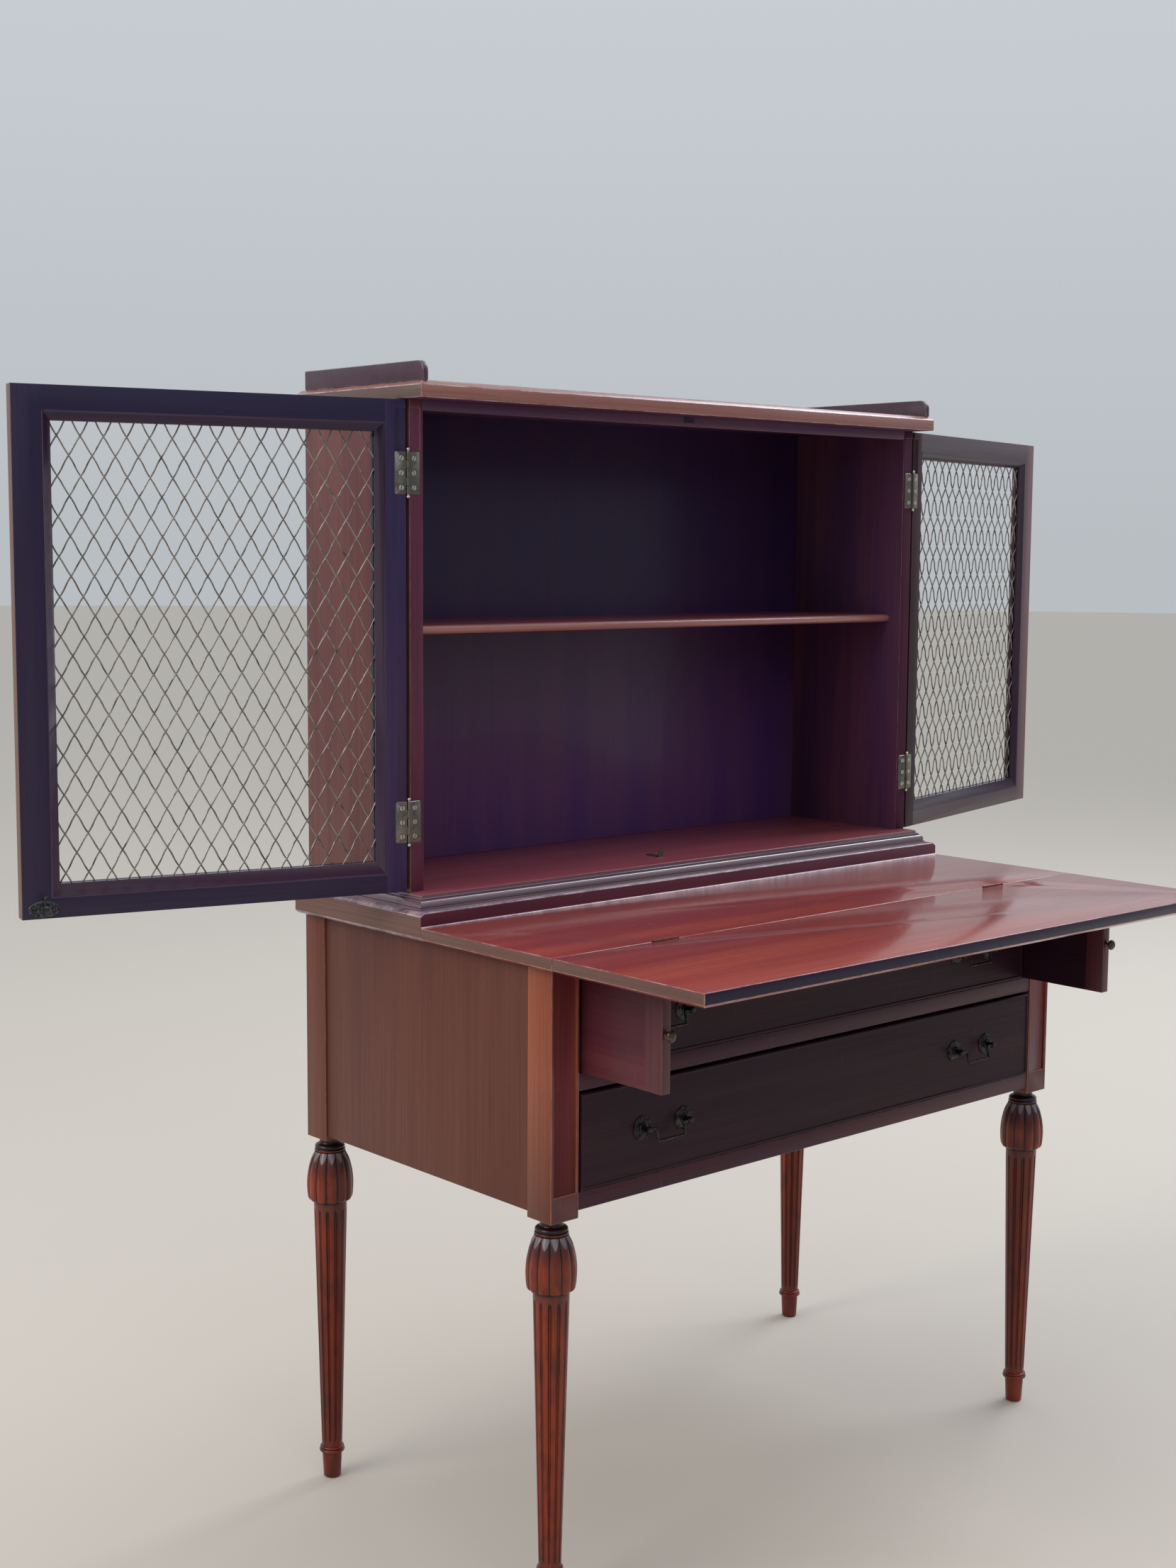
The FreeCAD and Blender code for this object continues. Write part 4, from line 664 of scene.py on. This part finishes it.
# a leg: (radius, height) of the turned profile and the sizes of its carving
leg = {
    "sides": 288, "flutes": 12, "turn": 15.0,  # degrees
    "foot": ((0.0, 0.0), (8.9, 0.0), (9.5, 0.3), (10.8, 1.2), (11.2, 2.4), (11.5, 10.0), (12.6, 33.2), (12.4, 33.8)),
    "ring": ((12.9, 33.9), (14.8, 34.3), (15.8, 35.0), (16.2, 36.0), (16.2, 36.9), (15.8, 37.9), (14.9, 38.6),
             (14.0, 38.8), (14.0, 39.1), (14.8, 39.4), (15.2, 40.1), (15.2, 40.9), (14.8, 41.6), (13.9, 42.0),
             (12.9, 42.2)),
    "shaftTop": (21.0, 367.9),
    "bulbShoulder": ((21.4, 368.0), (22.3, 368.3), (24.9, 369.1), (26.8, 370.4), (27.8, 372.0), (28.4, 374.0),
                     (28.8, 377.0), (29.2, 382.0), (29.45, 387.0)),
    "bulbWide": (29.5, 390.0), "bulbTop": (20.0, 433.0),
    "head": ((19.6, 433.1), (18.3, 433.2), (18.4, 433.5), (19.1, 434.0), (19.4, 434.9), (19.3, 435.9), (18.9, 436.6),
             (18.0, 436.9), (17.6, 437.1), (18.3, 437.5), (18.8, 438.3), (18.9, 439.4), (18.5, 440.6), (17.4, 441.7),
             (15.6, 442.6), (14.0, 443.1), (13.3, 444.0), (13.0, 446.0), (13.0, 449.0), (13.3, 451.5)),
    "fluteLow": 49.0, "fluteHigh": 357.0, "fluteDeep": 2.3, "fluteShare": 0.185,
    "petalDeep": 2.3, "petalRound": 2.6,
    "facetLow": 420.0, "facetWide": 0.96, "facetBow": 0.75, "facetEdge": 0.07, "facetOut": 0.15, "facetIn": 1.1,
}


def carvedLeg():
    # radius as a function of angle and height: the turned profile, less round-ended flutes down the
    # shaft, less the rounded flanks of twelve petals, and less a flat three-cornered cut on each petal's top
    shaft = np.linspace(0, 1, 110)[1:]
    (topRadius, topZ), (rootRadius, rootZ) = leg["shaftTop"], leg["ring"][-1]
    straight = np.stack([rootRadius + (topRadius - rootRadius) * shaft, rootZ + (topZ - rootZ) * shaft], -1)
    (wide, wideZ), (highRadius, highZ) = leg["bulbWide"], leg["bulbTop"]
    share = np.linspace(0, 1, 64)
    upper = np.stack([wide - (wide - highRadius) * share ** 2, wideZ + (highZ - wideZ) * share], -1)
    profile = np.concatenate([leg["foot"], leg["ring"], straight, leg["bulbShoulder"], upper,
                              leg["head"]])
    radius, height = profile.T
    sides = leg["sides"]
    angle = np.arange(sides) * 2 * np.pi / sides
    pitch = 2 * np.pi / leg["flutes"]
    # angle away from the nearest groove, the same for the flutes and between the petals
    off = (angle - math.radians(leg["turn"]) + pitch / 2) % pitch - pitch / 2
    radius = np.broadcast_to(radius[:, None], (len(profile), sides))
    height = np.broadcast_to(height[:, None], radius.shape)
    # a flute is a groove of round section about the line between its two end centres
    halfWidth = pitch * radius * leg["fluteShare"]
    past = np.maximum(height - (leg["fluteHigh"] - halfWidth), leg["fluteLow"] + halfWidth - height)
    past = np.maximum(0, past)
    away = np.hypot(off * radius, past) / np.maximum(halfWidth, 1e-6)
    onShaft = (height > rootZ) & (height < topZ + 0.05)
    flute = np.where(onShaft, np.sqrt(np.maximum(0, 1 - away ** 2)), 0) * leg["fluteDeep"] * radius / 21
    # a petal falls away towards the grooves at its sides
    across = np.abs(off) / (pitch / 2)
    onBulb = (height >= topZ + 0.05) & (height <= highZ + 0.05)
    petal = np.where(onBulb, (1 - across) ** leg["petalRound"] * leg["petalDeep"] * radius / wide, 0)
    carved = np.maximum(radius - flute - petal, 0)
    # the flat cut is a triangle on its point: as wide as the petal at the top and sunk deeper there
    rise = np.clip((height - leg["facetLow"]) / (highZ - leg["facetLow"]), 0, 1)
    reach = leg["facetWide"] * rise ** leg["facetBow"]
    facet = np.where(onBulb, np.clip((reach - (1 - across)) / leg["facetEdge"], 0, 1), 0)
    carved = carved - facet * (leg["facetOut"] + (leg["facetIn"] - leg["facetOut"]) * rise)
    grid = np.stack([carved * np.cos(angle), carved * np.sin(angle), height], -1)
    # painted shade in the flutes and most at their heads, between the petals and under the bulb, and a dark
    # head of the leg: shares of the dark tint, fading over a few millimetres
    head = np.exp(-np.abs(leg["fluteHigh"] - height) / 5)
    hollow = (0.38 + 0.55 * head) * np.minimum(1, flute / leg["fluteDeep"] / 0.7)
    hollow = hollow + np.where(onBulb, 0.85 * (1 - across) ** 5, 0)
    hollow = hollow + 0.85 * np.exp(-((height - topZ) / 1.6) ** 2) + np.clip((height - 434.9) / 0.5, 0, 0.92)
    hollow = hollow + 0.75 * np.exp(-((height - 433.1) / 0.5) ** 2)
    # the upper layer darkens the bulb towards its top, the shaft just under the bulb as painted shade, and a little
    # above the ring
    dim = np.where(onShaft, 0.6 * np.exp(-(topZ - height) / 14) + 0.25 * np.exp(-(height - rootZ) / 60), 0)
    layers = {
        "hollow": np.clip(hollow, 0, 1),
        "upper": np.where(onBulb, np.clip((height - 398) / 30, 0, 0.7), dim),
        # facets paled as a painted reflection of the sky
        "facet": facet * 0.85,
    }
    return grid, layers


legGrid, legLayers = carvedLeg()
for row, y in (("front", place["legFrontY"]), ("rear", place["legRearY"])):
    for side, hand in ((-1, "left"), (1, "right")):
        legName = row + "_" + hand
        makePiece("carvedLeg_" + legName, [skinned(legGrid + np.array([side * place["legX"], y, 0]))], "desk",
                  polishedMahogany("leg", "z", True), 50, ("leg_" + legName,), legLayers)
print("legs carved")


# woven grille: crimped wires on two slants, each over and under the other by turns
grille = {
    "wire": 0.9, "crimp": 0.82, "sway": 0.3, "cellWide": 25.3, "cellHigh": 43.0, "steps": 16, "sides": 6,
    "rabbet": door["beadOuter"], "gap": 1.5, "middleY": 132.4,
}


def wovenGrille():
    x0, x1, z0, z1 = grille["rabbet"]
    x0, x1, z0, z1 = x0 + grille["gap"], x1 - grille["gap"], z0 + grille["gap"], z1 - grille["gap"]
    middleX, middleZ = (x0 + x1) / 2, (z0 + z1) / 2
    wide, high = grille["cellWide"], grille["cellHigh"]
    section = roundSection(grille["wire"], grille["sides"])
    reach = math.ceil((x1 - x0) / wide / 2 + (z1 - z0) / high / 2)
    shapes = []
    for slant in (1, -1):
        for index in range(-reach, reach + 1):
            start = middleX + (index + 0.5) * wide
            first = max((x0 - start) / wide, (z0 - middleZ) / high)
            last = min((x1 - start) / wide, (z1 - middleZ) / high)
            if last - first < 0.2:
                continue
            t = np.linspace(first, last, max(4, int((last - first) * grille["steps"])))
            # the crimp is a flattened wave that peaks at each crossing, and the wire also sways
            # sideways twice as often
            wave = np.tanh(1.5 * np.cos(2 * np.pi * t)) / math.tanh(1.5) * grille["crimp"] * slant
            sway = grille["sway"] * np.sin(4 * np.pi * t)
            path = np.stack([start + t * wide + sway, grille["middleY"] + wave, middleZ + slant * t * high], -1)
            shapes.append(skinned(carried(path, section, (0, 1, 0))))
    return shapes


wires = wovenGrille()
for side, hand in ((1, "left"), (-1, "right")):
    makePiece("wovenGrille_" + hand, [swungOpen(wire, side) for wire in wires], hand + "_door",
              metals["wire"], 60, (hand + "_grille",))
print("grilles woven,", len(wires), "wires each")


# a screw's head as two half moons either side of the slot, and the low dark disc that it sits in, a painted shadow
# round the head
def slottedHead(radius, height, slotWidth, turn, start, direction):
    angle = np.linspace(-np.pi / 2, np.pi / 2, 11)
    cut = slotWidth / 2
    flat = math.acos(cut / radius)
    angle = angle * flat / (np.pi / 2)
    moon = np.stack([np.cos(angle), np.sin(angle)], -1) * radius
    shapes = []
    for spin in (turn, turn + np.pi):
        c, s = math.cos(spin), math.sin(spin)
        steps = []
        for depth, share in ((0, 1.0), (height * 0.55, 1.0), (height * 0.85, 0.88), (height, 0.66)):
            x, y = np.maximum(moon[:, 0] * share, cut), moon[:, 1] * share
            steps.append(np.stack([x * c - y * s, x * s + y * c, np.full(len(moon), depth)], -1))
        shapes.append(skinned(laidAlong(np.stack(steps), start, direction)))
    return shapes, [turnedShape(((radius * 1.18, 0), (radius * 1.18, height * 0.2)), 24, start, direction)]


# ball-tipped butt hinges: leaves with rounded far corners, knuckles rolled about the pin, slotted screws
hinge = {
    "thick": 1.2, "caseWide": 17.4, "doorWide": 16.6, "caseY": 143.0, "doorY": 141.6, "rim": 0.45, "corner": 2.6,
    "knuckle": 2.0, "room": 2.6, "gap": 0.2, "count": 5, "ball": 2.1, "bore": 1.2, "soft": 0.3,
    # so low that the heads of the two leaves don't meet when the door is shut
    "screw": 3.3, "screwHigh": 0.08, "screwIn": (8.6, 8.4), "screwAt": (0.16, 0.5, 0.84), "slot": 0.9,
}


def hingeLeaf(width, own, y, baseZ, shown):
    # outline up the pin side, stepped round the other leaf's knuckles, then round the far corners
    high, step, pin = place["hingeHigh"], place["hingeHigh"] / hinge["count"], place["pinX"]
    outline = []
    for index in range(hinge["count"]):
        x = pin if index % 2 == own else pin + hinge["room"]
        outline += [(x, baseZ + index * step + hinge["gap"] / 2), (x, baseZ + (index + 1) * step - hinge["gap"] / 2)]
    turn = np.linspace(0, np.pi / 2, 5)
    corner, far = hinge["corner"], pin + width
    outline += [(far - corner + corner * math.sin(a), baseZ + high - corner + corner * math.cos(a)) for a in turn]
    outline += [(far - corner + corner * math.cos(a), baseZ + corner - corner * math.sin(a)) for a in turn]
    # the face that shows has a bevelled rim
    depths = ((0, 0), (hinge["thick"] - hinge["rim"], 0), (hinge["thick"], hinge["rim"]))
    rows = drawnOut(outline, depths)[..., (0, 2, 1)]
    rows[..., 1] = y + (rows[..., 1] if shown > 0 else hinge["thick"] - rows[..., 1])
    return skinned(rows)


def hingeKnuckles(own, baseZ):
    step = place["hingeHigh"] / hinge["count"]
    shapes = []
    for index in range(own, hinge["count"], 2):
        low, high = baseZ + index * step + hinge["gap"] / 2, baseZ + (index + 1) * step - hinge["gap"] / 2
        radius, bore, soft = (hinge[key] for key in ("knuckle", "bore", "soft"))
        barrel = spun(((bore, low), (radius - soft, low), (radius, low + soft), (radius, high - soft),
                       (radius - soft, high), (bore, high)), 20)
        shapes.append(skinned(barrel + np.array([place["pinX"], place["pinY"], 0])))
    return shapes


def hingeBalls(baseZ):
    # a ball tip is a small neck and a full round, spun about the pin
    angle = np.linspace(-0.35 * np.pi, 0.5 * np.pi, 9)
    r = hinge["ball"]
    profile = [(1.1, -1.0), (1.1, 0.0)] + [(r * math.cos(a), 0.9 + r + r * math.sin(a) * 0.95 - 0.5) for a in angle]
    profile[-1] = (0.05, profile[-1][1])
    return [turnedShape(profile, 20, (place["pinX"], place["pinY"], z), (0, 0, way))
            for z, way in ((baseZ + place["hingeHigh"], 1), (baseZ, -1))]


def hingeScrews(inward, y, baseZ, seed):
    # heads on the face at y, turned a little at random; they face the other leaf
    heads, seats = [], []
    turns = np.random.default_rng(seed).uniform(-0.5, 0.4, 3)
    outward = (0, 1 if y < place["pinY"] else -1, 0)
    for share, turn in zip(hinge["screwAt"], turns):
        start = (place["pinX"] + inward, y, baseZ + share * place["hingeHigh"])
        head, seat = slottedHead(hinge["screw"], hinge["screwHigh"], hinge["slot"], turn, start, outward)
        heads, seats = heads + head, seats + seat
    return heads, seats


# leaves, screw heads and seats, first of the case and then of a door; the ball tips take the screws' pale brass,
# painted bright as a highlight
caseParts, doorParts = ([], [], []), ([], [], [])
for number, baseZ in enumerate(place["hingeZ"]):
    caseParts[1].extend(hingeBalls(baseZ))
    for own, held, wide, leafY, shown, faceY in (
            (0, caseParts, hinge["caseWide"], hinge["caseY"], -1, hinge["caseY"]),
            (1, doorParts, hinge["doorWide"], hinge["doorY"], 1, hinge["doorY"] + hinge["thick"])):
        held[0].extend([hingeLeaf(wide, own, leafY, baseZ, shown)] + hingeKnuckles(own, baseZ))
        heads, seats = hingeScrews(hinge["screwIn"][own], faceY, baseZ, 11 + own * 10 + number)
        held[1].extend(heads)
        held[2].extend(seats)
hingeKinds = (("agedBrass", "hingesCase", "hingeLeaves_"), ("screwBrass", "hingeScrewsCase", "hingeScrews_"),
              ("seat", "hingeSeatsCase", "hingeSeats_"))
for (metal, caseName, doorName), shapes in zip(hingeKinds, caseParts):
    makePiece(caseName, shapes + [mirroredX(shape) for shape in shapes], "desk", metals[metal], 40,
              ("door_hinges_case",) if metal == "agedBrass" else ())
for side, word in ((1, "left"), (-1, "right")):
    for (metal, caseName, doorName), shapes in zip(hingeKinds, doorParts):
        makePiece(doorName + word, [swungOpen(shape, side) for shape in shapes], word + "_door",
                  metals[metal], 40, (word + "_hinge_leaves",) if metal == "agedBrass" else ())
print("hinges made")


# pulls: ten-sided rosettes with a raised rim, a ringed boss and an eye, and square-cornered bails
pull = {
    "apart": 33.0,
    "plate": ((14.5, 0), (14.5, 0.9), (13.9, 1.4), (12.9, 1.5), (12.3, 1.0), (11.4, 1.2), (7.4, 2.5), (6.4, 2.6)),
    "boss": ((6.5, 1.5), (6.6, 3.6), (6.2, 4.3), (5.4, 4.5), (4.7, 4.1), (4.0, 3.8)),
    "eye": ((3.1, 3.5), (2.9, 5.6), (2.9, 8.0), (3.6, 9.4), (4.0, 11.0), (4.1, 12.6), (3.8, 14.2), (3.0, 15.4),
            (1.7, 16.0), (0.05, 16.2)),
    "pivotOut": 12.5, "half": 21.5, "drop": 14.5, "lean": 3.0, "end": 14.0, "wire": 1.6,
}


def pullPlates(z):
    starts = [(x + apart, place["drawerFaceY"], z) for x in (-place["pullX"], place["pullX"])
              for apart in (-pull["apart"], pull["apart"])]
    return [turnedShape(pull[key], sides, start, (0, -1, 0), first) for start in starts
            for key, sides, first in (("plate", 10, np.pi / 10), ("boss", 28, 0), ("eye", 24, 0))]


def bail(x, z):
    half, end = pull["half"], pull["half"] + pull["end"] + 1.5
    corners = [(-end, 0, 0), (-half, 0, 0), (-half, -pull["lean"], -pull["drop"]),
               (half, -pull["lean"], -pull["drop"]), (half, 0, 0), (end, 0, 0)]
    path = bentPath(corners, 1.8) + np.array([x, place["drawerFaceY"] - pull["pivotOut"], z])
    return skinned(carried(path, roundSection(pull["wire"], 12), (0.01, 1, 0.02)))


for word, z in (("top", place["topPullZ"]), ("lower", place["lowerPullZ"])):
    makePiece("pullPlates_" + word, pullPlates(z), word + "_drawer", metals["bronze"], 30,
              (word + "_pull_plates",))
    for side, hand in ((-1, "left"), (1, "right")):
        name = "bail_" + word + "_" + hand
        makePiece(name, [bail(side * place["pullX"], z)], name, metals["bronze"], 50, (name,))


# mushroom knobs on the lopers
knobProfile = ((0.05, 0), (4.2, 0), (4.2, 0.7), (3.0, 1.5), (2.3, 2.6), (2.2, 4.0), (2.7, 5.2), (4.6, 5.9),
               (6.2, 6.5), (6.7, 7.4), (6.7, 8.1), (6.1, 9.4), (4.6, 10.8), (2.6, 11.7), (0.05, 12.0))
for side, hand in ((-1, "left"), (1, "right")):
    start = (side * place["knobX"], place["knobY"], place["knobZ"])
    makePiece("loperKnob_" + hand, [turnedShape(knobProfile, 28, start, (0, -1, 0))], "loper_" + hand,
              metals["dullBrass"], 40, ("loper_knob_" + hand,))
print("pulls and knobs made")


# elbow catch on the left door: an oval plate, two ears, a lever with a ball and a hooked arm
catch = {
    "long": 35.0, "high": 19.0, "pointed": 1.12, "rim": ((0, 0), (0.8, 0), (1.25, 0.35), (1.5, 1.0)),
    "earIn": 3.3, "earThick": 1.6, "earOut": 10.5, "earHigh": 8.0, "half": 3.0, "screwApart": 11.5, "screw": 3.1,
    # y, z, half width and half height along the arm, to the barb
    "arm": ((148.6, 802.8, 3.0, 1.7), (152.0, 802.9, 2.9, 1.9), (157.0, 803.0, 2.4, 1.7), (162.0, 803.0, 2.0, 1.6),
            (164.6, 802.8, 1.9, 1.7), (166.0, 802.0, 1.8, 2.0), (167.2, 801.6, 1.5, 1.5), (167.9, 801.9, 1.1, 0.9)),
    "strikeScrew": (-22.0, 180.0, 792.1),
}
catchPivot = (place["catchX"], place["pivotY"], place["pivotZ"])


# points of a ring with each coordinate raised to a power: below 1 squarer than a circle, above 1 more pointed
def bentRing(count, powerX, powerY):
    angle = np.arange(count) * 2 * np.pi / count
    return [np.sign(side) * np.abs(side) ** power
            for side, power in ((np.cos(angle), powerX), (np.sin(angle), powerY))]


def catchPlateShapes():
    # an oval a little more pointed than an ellipse
    across, up = bentRing(48, 1, catch["pointed"])
    rows = drawnOut(np.stack([across * catch["long"] / 2, up * catch["high"] / 2], -1), catch["rim"])
    shapes = [skinned(rows[..., (0, 2, 1)] + np.array([place["catchX"], place["innerY"], place["catchZ"]]))]
    # each ear is a plate with a round top, carried across its own thickness
    turn = np.linspace(-np.pi / 2, np.pi / 2, 9)
    half = catch["earHigh"] / 2
    ear = [(catch["earOut"] - half + half * math.cos(a), half * math.sin(a)) for a in turn]
    ear = np.array([(0.0, -half)] + ear + [(0.0, half)]) + np.array([place["innerY"], place["pivotZ"]])
    for side in (-1, 1):
        shapes.append(skinned(np.stack([
            np.column_stack([np.full(len(ear), place["catchX"] + side * (catch["earIn"] + depth)), ear])
            for depth in (0, catch["earThick"])])))
    reach = catch["earIn"] + catch["earThick"] + 0.5
    pin = ((1.0, -reach), (1.2, -reach + 0.4), (1.2, reach - 0.4), (1.0, reach))
    return shapes + [turnedShape(pin, 16, catchPivot, (1, 0, 0))]


def catchLeverShapes():
    # hub about the pin, a slender stem with a ball, and an arm that tapers to the barb
    half = catch["half"]
    hub = ((1.3, -half), (2.9, -half), (3.2, -half + 0.3), (3.2, half - 0.3), (2.9, half), (1.3, half))
    stem = ((1.7, 2.0), (1.2, 4.5), (1.0, 7.5), (1.2, 9.4))
    ball = tuple((2.4 * math.cos(a), 11.8 + 2.4 * math.sin(a)) for a in np.linspace(-0.33 * np.pi, 0.49 * np.pi, 10))
    across, up = bentRing(16, 0.6, 0.6)
    rows = np.stack([np.stack([place["catchX"] + across * wide, np.full(16, y), z + up * tall], -1)
                     for y, z, wide, tall in catch["arm"]])
    return [turnedShape(hub, 24, catchPivot, (1, 0, 0)), turnedShape(stem + ball, 20, catchPivot, (0, 2.5, 12.0)),
            skinned(rows)]


catchScrews, catchSeats = [], []
for side in (-1, 1):
    spot = (place["catchX"] + side * catch["screwApart"], place["innerY"] + 1.4, place["catchZ"])
    head, seat = slottedHead(catch["screw"], 1.7, 0.8, 0.6 + side * 0.5, spot, (0, 1, 0))
    catchScrews, catchSeats = catchScrews + head, catchSeats + seat
for name, shapes, body, metal, replaced in (
        ("catchPlate", catchPlateShapes(), "left_door", "blackened", ("catch_plate",)),
        ("catchScrews", catchScrews, "left_door", "blackened", ()),
        ("catchSeats", catchSeats, "left_door", "seat", ()),
        ("catchLever", catchLeverShapes(), "catch_lever", "blackened", ("catch_lever",))):
    makePiece(name, [swungOpen(shape, 1) for shape in shapes], body, metals[metal], 40, replaced)
strikeHead, strikeSeat = slottedHead(2.6, 0.7, 0.7, 0.4, catch["strikeScrew"], (0, 0, 1))
makePiece("strikeScrew", strikeHead + strikeSeat, "desk", metals["agedBrass"], 40)
print("catch made")


# the solids that keep their own shape get their materials here
plainSolids = (
    (polishedMahogany("hidden", "x"), ("case_back", "dust_board", "top_drawer_bottom", "lower_drawer_bottom")),
    (polishedMahogany("hidden", "y"), ("lower_runners", "top_drawer_box", "lower_drawer_box")),
    (polishedMahogany("rail", "y"), ("loper_guide_left", "loper_guide_right")),
    (metals["stainedHinge"], ("leaf_hinge_fixed", "leaf_hinge_moving")),
    (metals["agedBrass"], ("catch_strike",)),
)
for material, names in plainSolids:
    for name in names:
        for slot in nodes[name].material_slots:
            slot.material = material


# pale floor, a room that is pale behind the desk, dull in front of it and bright overhead, a broad soft
# light from the left, one high on the right for the edges, and a weak one in front
studio = {
    "floor": "#c9c2b7", "cloud": "#bdb6aa", "floorReach": 40, "strength": 1.0,
    "low": ("#4c5259", "#b9bec3"), "middle": ("#858e97", "#cbd0d6"), "high": "#f1f5fb",
    "lights": (  # place and size in metres, watts and colour
        ("softLeft", (-4.4, 0.6, 3.2), 3.0, 95, "#fff7ee"),
        ("softRight", (3.9, 0.1, 4.4), 3.2, 135, "#f4f7ff"),
        ("softFront", (-1.6, -4.8, 3.0), 2.6, 14, "#e6eeff"),
    ),
    "aim": (0, 0, 0.7), "ahead": (0.66, 0.75, 0),
}


def setStage():
    material, tree, shader = newMaterial("palePlasterFloor")
    cloud = ramped(tree, patchNoise(tree, objectSpot(tree), (0.35, 0.35, 0.35), 4.0), 0.3, 0.7)
    colour = mixedColour(tree, times(tree, cloud, 0.06), studio["floor"], studio["cloud"])
    setInputs(tree, shader, {"Base Color": colour, "Roughness": 0.9})
    mesh = bpy.data.meshes.new("floor")
    rim = np.column_stack([roundSection(studio["floorReach"], 64), np.zeros(64)])
    mesh.from_pydata(rim.tolist(), [], [list(range(64))])
    mesh.materials.append(material)
    floor = bpy.data.objects.new("floor", mesh)
    scene.collection.objects.link(floor)
    world = bpy.data.worlds.new("paleSky")
    world.use_nodes = True
    tree = world.node_tree
    tree.nodes.clear()
    spot = addNode(tree, "ShaderNodeTexCoord", {}).outputs["Generated"]
    up = addNode(tree, "ShaderNodeSeparateXYZ", {0: spot}).outputs["Z"]
    away = addNode(tree, "ShaderNodeVectorMath", {0: spot, 1: studio["ahead"]}, operation="DOT_PRODUCT")
    behind = ramped(tree, away.outputs["Value"], -0.2, 0.5)
    low, middle = (mixedColour(tree, behind, *studio[key]) for key in ("low", "middle"))
    colour = mixedColour(tree, ramped(tree, up, 0.0, 0.30), low, middle)
    colour = mixedColour(tree, ramped(tree, up, 0.30, 0.75), colour, studio["high"])
    sky = addNode(tree, "ShaderNodeBackground", {"Color": colour, "Strength": studio["strength"]})
    addNode(tree, "ShaderNodeOutputWorld", {"Surface": sky.outputs["Background"]})
    scene.world = world
    for name, start, size, watts, colour in studio["lights"]:
        lamp = bpy.data.lights.new(name, "AREA")
        lamp.shape, lamp.size, lamp.energy = "DISK", size, watts
        lamp.color = linearColour(colour)[:3]
        light = bpy.data.objects.new(name, lamp)
        light.location = start
        light.rotation_euler = (Vector(studio["aim"]) - Vector(start)).to_track_quat("-Z", "Y").to_euler()
        scene.collection.objects.link(light)


setStage()
aimCamera()
scene.view_settings.view_transform = "Standard"
print("stage set")
